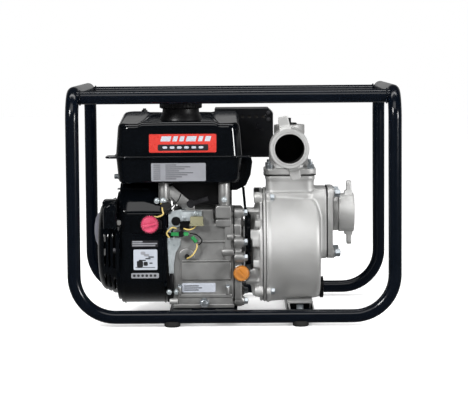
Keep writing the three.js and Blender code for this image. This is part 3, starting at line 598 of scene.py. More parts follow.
def weld_bead(centre, normal, radius):
    """A rippled bead round a tube's end."""
    normal = Vector(normal)
    u = normal.orthogonal().normalized()
    v = normal.cross(u)
    path = []
    for angle in (2 * math.pi * k / 72 for k in range(72)):
        ripple = 0.35 * math.sin(angle * 18)
        arm = (radius + ripple) * (math.cos(angle) * u + math.sin(angle) * v)
        path.append(Vector(centre) + arm + normal * ripple * 0.6)
    return sweep(path, 1.3, sides=10, closed=True)


def build_frame():
    for side, name in ((-1, "left"), (1, "right")):
        tube = sweep(loop_path(side), TUBE_RADIUS, sides=128)
        piece(f"tube_loop_{name}", tube, FRAME_BLACK, replaces=[f"frame_loop_{name}"])
    reach = UPRIGHT.x - 7
    for side, name in ((-1, "front"), (1, "rear")):
        y = side * TOP_RAIL_Y
        rail = bar("x", TUBE_RADIUS, (-reach, reach), (y, TOP_RAIL_Z), sides=160)
        piece(f"tube_top_{name}", rail, FRAME_BLACK, replaces=[f"top_rail_{name}"])
        beads = []
        for end in (-1, 1):
            beads.append(weld_bead((end * (reach - 5), y, TOP_RAIL_Z), (end, 0, 0), TUBE_RADIUS + 0.4))
        piece(f"weld_top_{name}", beads, FRAME_BLACK)
    beads = []
    for node in ("engine_crossmember_left", "engine_crossmember_right", "pump_crossmember"):
        low, high = node_box(node)
        for end in (-1, 1):
            y = end * (UPRIGHT.y - TUBE_RADIUS + 1)
            start, stop = Vector((low.x + 1, y, high.z - 1)), Vector((high.x - 1, y, high.z - 1))
            path = [start.lerp(stop, k / 24) + Vector((0, 0.3 * math.sin(k * 2.1), 0)) for k in range(25)]
            beads.append(sweep(path, 1.9, sides=8))
    piece("weld_crossmembers", beads, FRAME_BLACK)
    pad = [(0, 0), (11.5, 0), (13.4, 1.4), (13.4, 5.5), (12.4, 8.5), (9, 9.6), (0, 9.6)]
    for node in ("foot_front_left", "foot_front_right", "foot_rear_left", "foot_rear_right"):
        low, high = node_box(node)
        centre = ((low.x + high.x) / 2, (low.y + high.y) / 2)
        piece(f"{node}_pad", turned("z", pad, centre, 40), RUBBER, replaces=[node])


# ---- Pump ------------------------------------------------------------------------------------

FLANGE_BOLTS = [(-52, 84), (-67, -72), (52, 84), (97, 0), (67, -72)]
PORT_BORE = 24.5
SPIGOT_RADIUS = 27.4
PRIMING_X = DISCHARGE.x + 1.6
DRAIN = (0, -74)


def casing_drum():
    """The casing's drum: a slight cone whose top is drawn down to a wide shoulder at its far end."""
    profile = [
        (0, 97), (6, 96.8), (30, 95), (45, 94), (55, 93.4), (62, 93), (68, 92.6), (74, 92.2),
        (80, 91.8), (84, 91.2), (87, 89.8), (89, 87.5), (90, 84),
    ]
    angles = [2 * math.pi * k / 96 for k in range(96)]
    rings = []
    for x, radius in profile:
        reach = min(1.0, max(0.0, (x - 50) / 41))
        ceiling = 36 + 62 * math.sqrt(1 - reach**2)
        rings.append([Vector((54 + x, y, min(z, ceiling))) for y, z in arc(radius, angles)])
    return skin(rings)


def build_pump_casing():
    solids = [
        casing_drum(),
        turned("x", [(0, 53), (99, 53), (99, 57.6), (97, 59), (0, 59)], sides=96),
        rounded_block("z", (54, 134.4), (-42, 42), (60, 119.4), 12),
        rounded_block("z", (52.5, 136), (-43, 43), (112, 119.4), 12),
        rounded_block("z", (50.6, 133), (-47, 47), (82, 91), 10),
        slab("x", rounded_rectangle((-44, 44), (-22, 98), 16), (118, 155.4)),
        bar("x", 17, (128, 144.2), DRAIN),
        block((90, 128), (-22, 22), (-91.4, -70)),
    ]
    for y, z in FLANGE_BOLTS:
        solids.append(bar("x", 9.2, (53, 60), (y, z), 24))
        solids.append(bar("x", 10.5, (53, 58), (y * 0.93, z * 0.93), 24))
    holes = [
        turned("x", [(0, 49), (91, 49), (88, 100), (80, 118), (70, 134), (0, 134)]),
        bar("z", 26, (60, 125), (DISCHARGE.x, 0), 48),
        bar("x", 32, (118, 160), (0, SUCTION_Z - CRANK.z), 48),
        bar("x", 9, (120, 150), DRAIN, 24),
    ]
    casting("casing_shell", solids, holes, CAST_SILVER, replaces=["pump_casing"],
            voxel=1.5, rounds=5, place=CRANK)


def build_adapter():
    cone = [
        (15, 16.3), (44, 16.3), (44, 25), (50, 28), (78, 38), (80, 42.2), (96.5, 42.2), (96.5, 47.9),
        (30, 47.9), (22, 36), (15, 26),
    ]
    solids = [turned("x", cone, sides=96)]
    solids += [bar("x", 9.4, (33, 47.9), place, 24) for place in FLANGE_BOLTS]
    solids += [spun(block((18, 46), (40, 86), (-4, 4)), "x", angle) for angle in (40, 132, 223, 315)]
    solids += [
        block((34, 44), (-92, -76), (38, 49)),
        block((27, 44), (-90, -70), (19, 33)),
        block((30, 44), (-91, -70), (5, 19)),
        block((31, 44), (-91, -72), (-30, -17)),
        slab("y", [(22, -38), (44, -30), (44, -84), (30, -80)], (-62, -54)),
    ]
    casting("adapter_casting", solids, [], CAST_SILVER, replaces=["pump_adapter"], rounds=3, place=CRANK)
    plate = ring("x", 97.4, 86, (48.5, 52.4), sides=96, bevel=0.5)
    piece("volute_plate", plate, CAST_SILVER, place=CRANK)
    paper = [ring("x", 96.4, 88, x, sides=96, bevel=0.05) for x in ((48.0, 48.6), (52.3, 52.9))]
    piece("case_gaskets", paper, RUBBER, place=CRANK)
    heads = [bolt("x", (59.8, *place), 10, 7) for place in FLANGE_BOLTS]
    piece("casing_bolts", heads, ZINC, place=CRANK)
    square_plug = [
        rounded_block("z", (34, 42), (-38, -30), (90, 99), 1.5),
        bar("z", 5, (84, 91), (38, -34), 16),
    ]
    piece("adapter_plug", square_plug, SOFT_BLACK, place=CRANK)


def ring_nut(port, place, stand=Matrix.Identity(3), angle=0):
    """A ring nut with two tapered lugs, made with its face at 0 and its body running along +Y."""
    length, outer, bore = 26.7, 32.6, 27.7
    lug = [(-11.5, 28), (11.5, 28), (9.4, 36), (8.6, 50), (6.6, 54), (-6.6, 54), (-8.6, 50), (-9.4, 36)]
    root = [(-12.5, 26), (12.5, 26), (9.4, 37), (-9.4, 37)]
    solids = [ring("y", outer - 0.5, bore - 1.0, (2, length), sides=96, bevel=1.2)]
    for half_turn in (0, 180):
        for outline, span in ((lug, (14, 22.4)), (root, (10.5, 24))):
            solids.append(spun(slab("y", outline, span), "y", half_turn))
    collar = ring("y", outer, bore, (0, length - 0.5), sides=96, bevel=0.9)
    hole = bar("y", bore, (-5, length + 5), sides=96)
    body = f"{port}_nut"
    piece(f"{port}_nut_collar", moved(collar, place, stand), CAST_SILVER, body)
    solids = [moved(spun(solid, "y", angle), place, stand) for solid in solids]
    casting(f"{port}_ring_nut", solids, [moved(hole, place, stand)], CAST_SILVER, body, [body],
            voxel=1.0, rounds=3)


def build_ports():
    ring_nut("suction", (node_box("suction_nut")[0].x, CRANK.y, SUCTION_Z), turn_about("z", -90))
    ring_nut("discharge", (DISCHARGE.x, node_box("discharge_nut")[0].y, DISCHARGE.z), angle=-12)
    plate, spigot_end = node_box("suction_flange")
    face = plate.x + 8.5
    axis = (CRANK.y, SUCTION_Z)
    outline = rounded_rectangle((CRANK.y - 43, CRANK.y + 43), (CRANK.z - 22, CRANK.z + 99.6), 18)
    places = [(CRANK.y + y, CRANK.z + z) for y, z in ((-33, -12), (33, -12), (-33, 89), (33, 89))]
    solids = [
        slab("x", outline, (plate.x, face)),
        bar("x", 31, (face - 2, face + 10.5), axis, 64),
        bar("x", SPIGOT_RADIUS, (face, spigot_end.x), axis, 64),
    ]
    solids += [bar("x", 9, (plate.x, face + 3), place, 24) for place in places]
    bore = bar("x", PORT_BORE, (plate.x - 5, spigot_end.x + 5), axis, 64)
    casting("suction_casting", solids, [bore], CAST_SILVER, replaces=["suction_flange"],
            voxel=1.2, rounds=3)
    piece("suction_bolts", [bolt("x", (face + 3, *place), 12, 9.5) for place in places], ZINC)


def build_elbow():
    low = node_box("discharge_elbow")[0]
    x, y, z = DISCHARGE.x, CRANK.y, DISCHARGE.z
    outer = rounded_path([((x, y, low.z), 0), ((x, y, z), 34), ((x, y - 67, z), 0)])
    inner = rounded_path([((x, y, low.z - 5), 0), ((x, y, z), 34), ((x, low.y - 5, z), 0)])
    flange = rounded_rectangle((50, 138), (y - 42, y + 42), 13)
    solids = [
        slab("z", flange, (low.z, low.z + 9.5)),
        sweep(outer, 33, sides=64),
        bar("y", 27.0, (low.y + 1.2, y - 60), (x, z), 64),
        bar("z", 26, (z + 20, z + 36.5), (PRIMING_X, y), 64),
        bar("z", 37, (low.z + 4, low.z + 16), (x, y), 64),
    ]
    bores = [sweep(inner, PORT_BORE, sides=64), bar("z", 13, (z, z + 45), (PRIMING_X, y))]
    casting("elbow_casting", solids, bores, CAST_SILVER, replaces=["discharge_elbow"], voxel=1.3)
    spigot = ring("y", SPIGOT_RADIUS, 24.6, (low.y, low.y + 22), (x, z), 96, 0.4)
    piece("elbow_spigot", spigot, CAST_SILVER)
    # painted shade: a dark iron tube inside the elbow's bore darkens the inside of the bore
    bore_shade = sweep(inner[:-1] + [Vector((x, low.y + 2, z))], 24.2, sides=64, caps=False)
    piece("elbow_bore_painted_shade", bore_shade, IRON)
    bolts = []
    for bolt_x in (59, 129):
        for bolt_y in (y - 32, y + 32):
            bolts.append(bolt("z", (bolt_x, bolt_y, low.z + 9.5), 10, 7))
            bolts.append(bar("z", 3, (low.z + 15.5, low.z + 21.5), (bolt_x, bolt_y), 16))
    piece("discharge_bolts", bolts, ZINC)


def build_plugs():
    cap = [(0, 22), (12.2, 22), (12.2, 37), (13, 37), (13, 38.6), (11.5, 39.4), (0, 39.4)]
    shapes = [turned("z", cap, sides=40), block((-3, 3), (-9, 9), (38, 47.4))]
    piece("priming_cap", shapes, SOFT_BLACK, "priming_plug", ["priming_plug"], bevel=0.5,
          place=(PRIMING_X, CRANK.y, DISCHARGE.z))
    cap = [
        (0, 126), (8.6, 126), (8.6, 144.6), (17.4, 144.6), (17.6, 146), (17.6, 149.4), (16.6, 150.9),
        (0, 150.9),
    ]
    grip = block((145, 150.6), (-18.2, 18.2), (-1.6, 1.6))
    shapes = [turned("x", cap, sides=40)] + [spun(grip, "x", 30 * k) for k in range(6)]
    piece("drain_cap", shapes, SOFT_BLACK, "drain_plug", ["drain_plug"], bevel=0.5,
          place=CRANK + Vector((0, *DRAIN)))


def build_bracket():
    low, high = node_box("pump_bracket")
    left, right = 88.4, 130.4
    y = (low.y, low.y + 96)
    shapes = [
        block((left, right), y, (high.z - 2.6, high.z)),
        slab("y", [(left, high.z), (left + 2.4, high.z), (left + 4.6, low.z), (left + 2.2, low.z)], y),
        slab("y", [(right - 2.4, high.z), (right, high.z), (right + 2.6, low.z), (right + 0.2, low.z)], y),
    ]
    piece("pump_foot", shapes, CAST_SILVER, replaces=["pump_bracket"], bevel=0.6)
    # painted shade: a dark rubber filler inside the foot darkens the bracket's interior
    pad = block((93, 126), (low.y + 22, low.y + 92), (low.z + 0.2, high.z - 2.8))
    piece("pump_foot_painted_shade", pad, RUBBER, bevel=0.8)
    piece("pump_foot_bolt", bolt("z", (109, low.y + 8, low.z + 0.2), 10, 6.5), ZINC)


# ---- Engine ----------------------------------------------------------------------------------

CASE_FRONT = -75
SHROUD_LEDGE = block((-195, -142), (-56, -36), (99.2, 101))
SHROUD_WINDOW = block((-128, -110), (-84, -46), (78, 112))
DIPSTICK = (11.4, -40.2)


def case_outline(inset=0.0):
    front, back, bottom, top = CASE_FRONT + inset, 78 - inset, -98.4 + inset, 62 - inset
    return [
        (front, -84), (-62, bottom), (70, bottom), (back, -88), (back, 20), (60, top), (-52, top),
        (front, 40),
    ]


def tilted(shape):
    return spun(shape, "x", CYLINDER_TILT)


def build_case_front():
    """The panels and bosses on the crankcase's near wall."""
    panels = [
        ((-95, -4), (-98.4, -80), 3.5, 2), ((-94, -5), (-80.6, -74.6), 5.5, 1.5),
        ((-88.6, -6), (-51, -21.5), 3.6, 2.5), ((-88, -10), (-20.5, -18), 5, 1),
        ((-66, -15), (11.6, 14.6), 3, 1), ((-16, -5), (-20, 62), 4, 2),
        ((-31, -5), (38, 50), 6, 3), ((-31, -5), (52, 71), 7.5, 3),
    ]
    shapes = []
    for x, z, rise, radius in panels:
        radius = min(radius, (z[1] - z[0]) / 2 - 0.2)
        shapes.append(rounded_block("y", x, z, (CASE_FRONT - rise, -64), radius, 0.7))
    for x, z, radius in (((-12, -1.2), 20.6, 5.6), ((-21, -1.2), -4.6, 6.8)):
        shapes.append(bar("x", radius, x, (-76.5, z), 32, 1.0))
        shapes.append(block((x[0] + 1, x[1]), (-76.5, -70), (z - radius, z + radius)))
    shapes.append(bar("y", 13.5, (-76.2, -70), (-79.8, -12), 40, 0.8))
    shapes.append(bar("y", 8.4, (-81, -70), (-50.7, -89), 32, 0.8))
    shapes += [bar("z", 3.4, (-76, -63), (x, -79), 16, 0.5) for x in (-92, -11.5)]
    shapes.append(block((-9, -2.2), (-77.5, -70), (14, 42)))
    piece("case_front_relief", shapes, CAST_GREY, bevel=0.4, place=CRANK)


def build_crankcase():
    build_case_front()
    solids = [
        slab("x", case_outline(), (-103, -1)),
        tilted(bar("y", 46, (40, 140), (-52, 0), 64)),
        block((-80, -34), (-74.5, -60), (40, 66)),
        block((-103, -1), (-80, -60), (-98.4, -91)),
    ]
    bore = tilted(bar("y", 34, (60, 145), (-52, 0), 48))
    casting("crankcase_casting", solids, [bore], CAST_GREY, replaces=["crankcase"],
            voxel=1.4, rounds=2, place=CRANK)
    fins = []
    for start in (88, 100, 112, 124, 136):
        fins.append(tilted(rounded_block("y", (-99, -5), (-50, 50), (start, start + 2.6), 8, 0.4)))
    piece("cylinder_fins", fins, CAST_GREY, place=CRANK)
    bolts = [bolt("y", (-50.7, -81, -89), 13, 8, direction=-1, washer=2)]
    bolts += [bolt("z", (x, -79, -63), 6, 4) for x in (-92, -11.5)]
    piece("case_bolts", bolts, ZINC, place=CRANK)
    piece("case_spacer", bar("x", 5, (-109, -95), (-77, -87), 20, 1), CAST_SILVER, place=CRANK)


def build_side_cover():
    places = [(-64, 60), (-77, 12), (-77, -14), (-66, -88), (66, -88), (70, 30)]
    solids = [slab("x", case_outline(), (-0.7, 12)), bar("x", 44, (-0.7, 16), (0, 0), 64)]
    solids += [bar("x", 8.2, (-0.7, 16), place, 24) for place in places]
    solids.append(bar("y", 11.6, (-79, -60), DIPSTICK, 40))
    solids.append(bar("x", 66, (-0.7, 13.5), (0, 0), 64))
    solids += [spun(block((8, 15), (40, 68), (-2.5, 2.5)), "x", 20 + 45 * k) for k in range(8)]
    holes = [bar("x", 13.6, (-5, 20)), bar("y", 7.5, (-85, -50), DIPSTICK, 24)]
    casting("side_cover_casting", solids, holes, CAST_GREY, replaces=["side_cover"],
            voxel=1.4, rounds=2, place=CRANK)
    bolts = [bolt("x", (16, *place), 10, 5.7) for place in places]
    piece("side_cover_bolts", bolts, ZINC, place=CRANK)
    gasket = slab("x", case_outline(-0.9), (-1.3, -0.5))
    piece("side_cover_gasket", gasket, RUBBER, place=CRANK)


def build_dipstick():
    head = [(0, -79.4), (12.7, -79.4), (12.7, -83.5), (11.2, -86.2), (8.5, -87), (0, -87)]
    shapes = [
        turned("y", head, sides=56),
        spun(block((-8.5, 8.5), (-91, -86), (-1.7, 1.7)), "y", 45),
        ring("y", 13.3, 11.5, (-82, -80.6)),
        bar("y", 6.8, (-80, -60), sides=24),
        bar("y", 2.2, (-60, -52.5), sides=16),
    ]
    piece("dipstick_cap", shapes, ORANGE, "dipstick", ["dipstick"], bevel=0.5,
          place=CRANK + along("y", *DIPSTICK, 0))


def shroud_outline(inset=0.0):
    """The fan housing seen along the crank: a round belly below a plain front and a sloping back."""
    radius, front, top = 97 - inset, -80 + inset, 108 - inset
    start = math.pi / 2 + math.asin(-front / radius) + 1.16
    outline = arc(radius, [start + (1.5 * math.pi - start) * k / 40 for k in range(41)])
    outline += [(50, -radius), (88 - inset, -60), (112 - inset, 30), (112 - inset, top)]
    outline += [(-34, top), (-52, top - 8), (front, 60)]
    return outline


def build_shroud():
    cutters = [
        slab("x", shroud_outline(2.5), (-188.5, -100)),
        bar("x", 72, (-195, -180), (0, 0), 64),
        SHROUD_WINDOW,
        rounded_block("y", (-172, -119), (27, 58), (-82, -78.4), 5, 0.2),
    ]
    shell = slab("x", shroud_outline(), (-191, -113))
    carved("shroud_shell", shell, cutters, GLOSS_BLACK, ["blower_shroud"], 1.2)
    back = slab("x", shroud_outline(2.6), (-113.6, -112))
    carved("blower_back_plate", back, [bar("x", 30, (-120, -100), (0, 0), 48), SHROUD_WINDOW], SOFT_BLACK)
    neck = [
        block((-112, -102.6), (-76.5, -66), (-88, 56)),
        block((-112, -102.6), (66, 76), (-80, 20)),
    ]
    piece("blower_neck", neck, SOFT_BLACK, bevel=0.6, place=CRANK)
    beads = [SHROUD_LEDGE, sweep([(-178, -80.6, 60.5), (-120, -80.6, 60.5)], 1.0, sides=8)]
    for x in (-186, -118):
        path = [(x, u, v) for u, v in shroud_outline(-0.2)]
        beads.append(sweep(path, 1.5, sides=10, closed=True))
    piece("shroud_beads", beads, GLOSS_BLACK, place=CRANK)


def build_switch():
    place = CRANK + Vector((-140, 0, 43.6))
    seat = [
        turned("y", [(5, -79), (17, -79), (17, -82), (15, -84), (15, -88), (5, -88)], sides=48),
        rounded_block("y", (10, 20), (-9, 6), (-86, -79.5), 2, 0.5),
    ]
    piece("switch_housing", seat, SOFT_BLACK, place=place)
    knob = [
        (0, -88.4), (14.5, -88.4), (14.3, -92), (13.2, -95.5), (12, -98), (11.4, -98.4), (9, -97.6),
        (0, -97.2),
    ]
    shapes = [
        turned("y", knob, sides=56),
        spun(block((-11.6, 11.6), (-101.8, -96.5), (-1.9, 1.9)), "y", -14),
        bar("y", 4.5, (-89, -81), sides=20),
    ]
    shapes += [spun(block((13.4, 14.9), (-94.5, -88.6), (-0.6, 0.6)), "y", 15 * k) for k in range(24)]
    piece("switch_dial", shapes, RED, "switch_knob", ["switch_knob"], bevel=0.4, place=place)


def drum_slot(x, angles):
    """A slot in the starter drum's wall, its angles counted up from the side facing the operator."""
    steps = [math.radians(angles[0] + (angles[1] - angles[0]) * k / 8) for k in range(9)]
    outline = [(-90 * math.cos(a), 90 * math.sin(a)) for a in steps]
    outline += [(-70 * math.cos(a), 70 * math.sin(a)) for a in reversed(steps)]
    return slab("x", outline, x)


def build_recoil():
    rim, face = -191.3, -228.7
    outline = [
        (0, face), (57, face), (66, face + 1.8), (72, face + 6), (75, face + 10), (79, -208), (83.5, -198),
        (92, -196.5), (92, rim), (81, rim), (76, -208), (72, face + 12), (66, face + 5), (0, face + 3),
    ]
    slots = []
    for quarter in range(4):
        for x in (-216, -208.4, -200.6):
            for angles in ((-58, -34), (-22, 20)):
                slots.append(spun(drum_slot((x - 1.7, x + 1.7), angles), "x", -90 * quarter))
    opening = rounded_block("x", (-50, -14), (-3, 3), (face - 2, face + 6), 2.8, 0.2)
    slots += [spun(opening, "x", 30 * k) for k in (0, 1, 2, 8, 9, 10, 11)]
    shell = turned("x", outline, sides=96)
    carved("recoil_shell", shell, [merged(slots)], GLOSS_BLACK, ["recoil_cover"], 0.6)
    guide = [
        rounded_block("y", (-219, -195), (44, 84), (-80, -52), 5, 1.2),
        block((-217, -197), (-85.5, -68), (40.4, 43)),
        bar("x", 6, (face + 2, -197), sides=20),
    ]
    piece("rope_guide", guide, GLOSS_BLACK, bevel=0.4, place=CRANK)
    clip = rounded_block("y", (-196, -188.6), (42.5, 50), (-87, -79), 1.5, 0.5)
    piece("rope_clip", clip, CAST_SILVER, place=CRANK)
    badge = [(0, -9.5), (10, -9.2), (20, -7.2), (27, -4), (30, -0.6), (30, 1.5), (0, 1.5)]
    piece("recoil_badge", turned("x", badge), BADGE_GREY, place=CRANK + Vector((face, 0, 27)))
    places = arc(87, [math.radians(60 + 120 * k) for k in range(3)])
    screws = [bolt("x", (-196.5, *place), 8, 4.5, direction=-1) for place in places]
    piece("recoil_screws", screws, DARK_STEEL, place=CRANK)


def build_starter_grip():
    low, high = node_box("starter_grip")
    middle = (low + high) / 2
    front, back = low.y, high.y
    outline = [
        (-11.5, -22), (-9, -23.5), (9, -23.5), (11.5, -21), (11, 17), (9, 23), (4, 22), (-9, 14), (-11.5, 9),
    ]
    layers = [
        (back, 0.8), (back - 3, 0.96), (back - 7, 1.0), (front + 6, 1.0), (front + 2, 0.95), (front, 0.84),
    ]
    rings = []
    for y, size in layers:
        rings.append([Vector((middle.x + u * size, y, middle.z + v * size)) for u, v in outline])
    shapes = [skin(rings), moved(ring("y", 5, 2.4, (0, 3)), (middle.x, back - 2.6, middle.z))]
    for dx in (-6.6, -1.4, 3.8):
        x = (middle.x + dx, middle.x + dx + 2.6)
        shapes.append(rounded_block("y", x, (low.z + 6, high.z - 16), (front - 1, front + 4), 1.2, 0.5))
    piece("grip_handle", shapes, GLOSS_BLACK, "starter_grip", ["starter_grip"], bevel=0.8)
    start = Vector((middle.x, node_box("starter_rope")[1].y, middle.z))
    end = Vector((middle.x, node_box("starter_rope")[0].y + 1, middle.z))
    path = [start.lerp(end, k / 40) for k in range(41)]
    rope = sweep(path, lambda share: 2 + 0.18 * math.sin(80 * share), sides=12)
    obj = piece("rope_run", rope, ROPE, "starter_grip", ["starter_rope"])
    obj.parent = None
    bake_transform(obj)


# ---- Fuel tank -------------------------------------------------------------------------------

TANK_X, TANK_Y = -91, -65
TANK_HALF = (105, 95)
TANK_CORNER = 21
TANK_LEAN = 3.6  # how far the wall leans in below the roof's edge
LEAN_PER_MM = TANK_LEAN / 49.5
ROOF_BEND = 8.5


def resampled(outline, count):
    """Points spaced evenly along a closed outline."""
    points = [Vector(p) for p in outline] + [Vector(outline[0])]
    lengths = [(b - a).length for a, b in zip(points, points[1:])]
    spacing = sum(lengths) / count
    result, walked, i = [], 0.0, 0
    for k in range(count):
        while walked + lengths[i] < k * spacing:
            walked += lengths[i]
            i += 1
        result.append(points[i].lerp(points[i + 1], (k * spacing - walked) / lengths[i]))
    return result


def smoothstep(value, start, end):
    t = min(1.0, max(0.0, (value - start) / (end - start)))
    return t * t * (3 - 2 * t)


def roof_height(u, v):
    """The tank's top over its plan: low along the front, with a pressed pad at each side."""
    share = (v + TANK_HALF[1]) / (2 * TANK_HALF[1])
    crease = 54 + 14 * (1 - share) ** 2
    side = smoothstep(abs(u), crease - 7, crease + 7)
    middle = 56.5 + 11 * share + 1.5 * (1 - (u / TANK_HALF[0]) ** 2)
    pad = 54 + 17 * share
    groove = math.exp(-(((abs(u) - crease) / 4.2) ** 2))
    return middle + (pad - middle) * side - groove


def tank_ring(inset, z, radius=TANK_CORNER):
    """A ring round the tank; z is a height or a function of the plan place."""
    height = z if callable(z) else lambda u, v: z
    x, y = TANK_HALF[0] - inset, TANK_HALF[1] - inset
    plan = resampled(rounded_rectangle((-x, x), (-y, y), radius, 10), 300)
    return [Vector((TANK_X + p.x, TANK_Y + p.y, TANK_SEAM + height(p.x, p.y))) for p in plan]


def tank_top():
    """The upper half: a leaning wall, a rounded edge and a roof drawn in to a narrow slit."""
    rings = [tank_ring(0, 1.5), tank_ring(0.4, 5)]
    for share in (0.25, 0.5, 0.75, 0.92):
        rings.append(tank_ring(TANK_LEAN * share, lambda u, v, s=share: s * (roof_height(u, v) - ROOF_BEND)))
    for k in range(1, 9):
        angle = math.radians(90 * k / 8)
        inset = TANK_LEAN + ROOF_BEND * (1 - math.cos(angle))
        drop = ROOF_BEND * (1 - math.sin(angle))
        rings.append(tank_ring(inset, lambda u, v, d=drop: roof_height(u, v) - d, max(12, 25 - inset)))
    for k in range(1, 41):
        inset = TANK_LEAN + ROOF_BEND + 2.02 * k
        rings.append(tank_ring(inset, roof_height, max(1.0, 13 - inset / 8)))
    return skin(rings)


def hem(x, y, radius, wire, steps):
    """A flat flange at the tank's seam with a round wire edge."""
    outline = rounded_rectangle(x, y, radius, steps)
    edge = sweep([(u, v, TANK_SEAM) for u, v in outline], wire, sides=12, closed=True)
    return [slab("z", outline, (TANK_SEAM - 1.5, TANK_SEAM + 1.5)), edge]


def build_tank():
    left, right = TANK_X - TANK_HALF[0], TANK_X + TANK_HALF[0]
    front, back = TANK_Y - TANK_HALF[1], TANK_Y + TANK_HALF[1]
    piece("tank_top_shell", tank_top(), GLOSS_BLACK, replaces=["tank_upper"], angle=60)
    lower = [
        (14, -43.7, 12), (9, -43.3, 14), (5.8, -41.4, 16), (4.2, -38, 18), (3.2, -30, 20),
        (1.0, -6, TANK_CORNER), (0.4, -1.2, TANK_CORNER),
    ]
    shape = skin([tank_ring(*values) for values in lower])
    piece("tank_bottom_shell", shape, GLOSS_BLACK, replaces=["tank_lower"], angle=60)
    hems = hem((left - 3, right + 3), (front - 3, back + 8), 26, 1.9, 10)
    for x in ((left - 15, left + 20), (right - 20, right + 15)):
        hems += hem(x, (front - 2, front + 44), 9, 1.7, 8)
    piece("tank_seam_hem", hems, GLOSS_BLACK)
    side_bolt = [
        bolt("x", (left + 3, front + 42, TANK_SEAM - 34), 8, 7, direction=-1),
        bar("x", 3, (left - 1, left + 14), (front + 42, TANK_SEAM - 34), 16),
    ]
    piece("tank_side_bolt", side_bolt, ZINC)


def build_fuel_cap():
    centre = joint_place("fuel_cap_turn")
    place = (centre.x, centre.y, TANK_SEAM)
    neck = [(22, 50), (37.4, 50), (37, 57), (35, 63), (32.6, 68), (31, 72), (30.6, 78), (22, 78)]
    piece("filler_neck", turned("z", neck), SOFT_BLACK, place=place)
    rim = [
        (0, 79), (33.2, 78.6), (34.6, 80), (34.6, 88), (33.4, 90), (30, 90.6), (26, 89.6), (10, 89.3),
        (0, 89.3),
    ]
    shapes = [turned("z", rim, sides=96), block((-21, 21), (-4, 4), (87, 90.6))]
    shapes += [spun(block((33.6, 35.6), (-1.5, 1.5), (79.6, 88.6)), "z", 10 * k) for k in range(36)]
    piece("fuel_cap_knurled", shapes, SOFT_BLACK, "fuel_cap", ["fuel_cap"], bevel=0.4, place=place)


# ---- Labels ----------------------------------------------------------------------------------


def leaned(shape, y, z, lean):
    """The shape moved along Y onto a face that stands at y at height z and leans by lean per mm."""
    points, faces = shape
    return [Vector((p.x, p.y + y + lean * (p.z - z), p.z)) for p in points], faces


def label(name, x, z, plane, look, marks):
    """A printed film on a face that looks along -Y; plane is (y at z[0], lean per mm).

    Marks are (x0, x1, z0, z1, look) in shares of the film.
    """
    def film(u, v, thick):
        outline = rounded_rectangle(u, v, min(2.0, (v[1] - v[0]) / 2 - 0.05), 4)
        return leaned(slab("y", outline, (-thick, 0.1)), plane[0], z[0], plane[1])

    def part(span, start, end):
        return [span[0] + (span[1] - span[0]) * share for share in (start, end)]

    piece(name, film(x, z, 0.4), look)
    inks = {}
    for x0, x1, z0, z1, ink in marks:
        films = inks.setdefault(ink[0].name, (ink, []))[1]
        films.append(film(part(x, x0, x1), part(z, z0, z1), 0.55))
    for ink_name, (ink, films) in inks.items():
        piece(f"{name}_{ink_name}", films, ink)


def dashes(step, look):
    return [(0.06 + step * k, 0.16 + step * k, 0.25, 0.75, look) for k in range(6)]


def build_tank_labels():
    face = TANK_Y - TANK_HALF[1]
    label("name_free_label", (-139.7, -28.5), (285.6, 315.9), (face + 0.45, LEAN_PER_MM), LABEL_RED,
          [(0.13, 0.88, 0.10, 0.44, LABEL_INK)])
    strokes = []
    low, high, slant = 304.0, 312.4, 2.4
    for start, width in ((-121, 16), (-101, 7), (-90, 7), (-79, 16), (-59, 7), (-48, 9)):
        end = start + width
        outline = [(start, low), (end, low), (end + slant, high), (start + slant, high)]
        strokes.append(leaned(slab("y", outline, (-0.55, 0.1)), face + 0.35, 284.1, LEAN_PER_MM))
    piece("name_free_strokes", strokes, LABEL_WHITE)
    label("bar_dashes", (-122, -45), (290.2, 297.7), (face + 0.55, LEAN_PER_MM), LABEL_INK,
          dashes(0.155, LABEL_WHITE))
    rows = []
    for k in range(8):
        top = 0.92 - 0.11 * k
        rows.append((0.04, 0.17, top - 0.035, top, LABEL_INK))
        rows.append((0.26, 0.46 + 0.36 * ((k * 5) % 7) / 7, top - 0.035, top, LABEL_INK))
    label("data_plate", (-136.7, -46.3), (237.8, 268), (face + 4.3, -3.1 / 30), LABEL_SILVER, rows)


def build_engine_labels():
    y, lean = CRANK.y - 82.0, 0.0206
    picture = [
        (0.08, 0.90, 0.10, 0.13, LABEL_INK), (0.14, 0.40, 0.13, 0.44, LABEL_INK),
        (0.22, 0.52, 0.44, 0.50, LABEL_INK), (0.42, 0.60, 0.20, 0.40, LABEL_INK),
        (0.50, 0.72, 0.52, 0.58, LABEL_INK), (0.62, 0.86, 0.60, 0.66, LABEL_INK),
        (0.66, 0.80, 0.30, 0.36, LABEL_INK), (0.30, 0.50, 0.74, 0.90, LABEL_SILVER),
        (0.44, 0.66, 0.66, 0.78, LABEL_SILVER),
    ]
    label("shroud_sticker", (-168, -128.3), (90, 124), (y, lean), LABEL_WHITE, picture)
    label("shroud_strip", (-172, -126), (76, 84.7), (y - 0.3, lean), LABEL_SILVER, dashes(0.15, LABEL_INK))
    lines = []
    for k, end in enumerate((0.42, 0.97, 0.9)):
        lines.append((0.02, end, 0.74 - 0.3 * k, 0.92 - 0.3 * k, LABEL_SILVER))
    label("shroud_lines", (-171, -127), (128, 139), (y + 0.75, lean), LABEL_INK, lines)
    serial = [(0.06, 0.5 + 0.1 * (k % 2), 0.2 + 0.22 * k, 0.3 + 0.22 * k, LABEL_INK) for k in range(3)]
    label("serial_label", (-88, -32), (51, 66.5), (CRANK.y - 75.2, 0.0), LABEL_WHITE, serial)


# ---- Engine top: intake, exhaust, controls ---------------------------------------------------


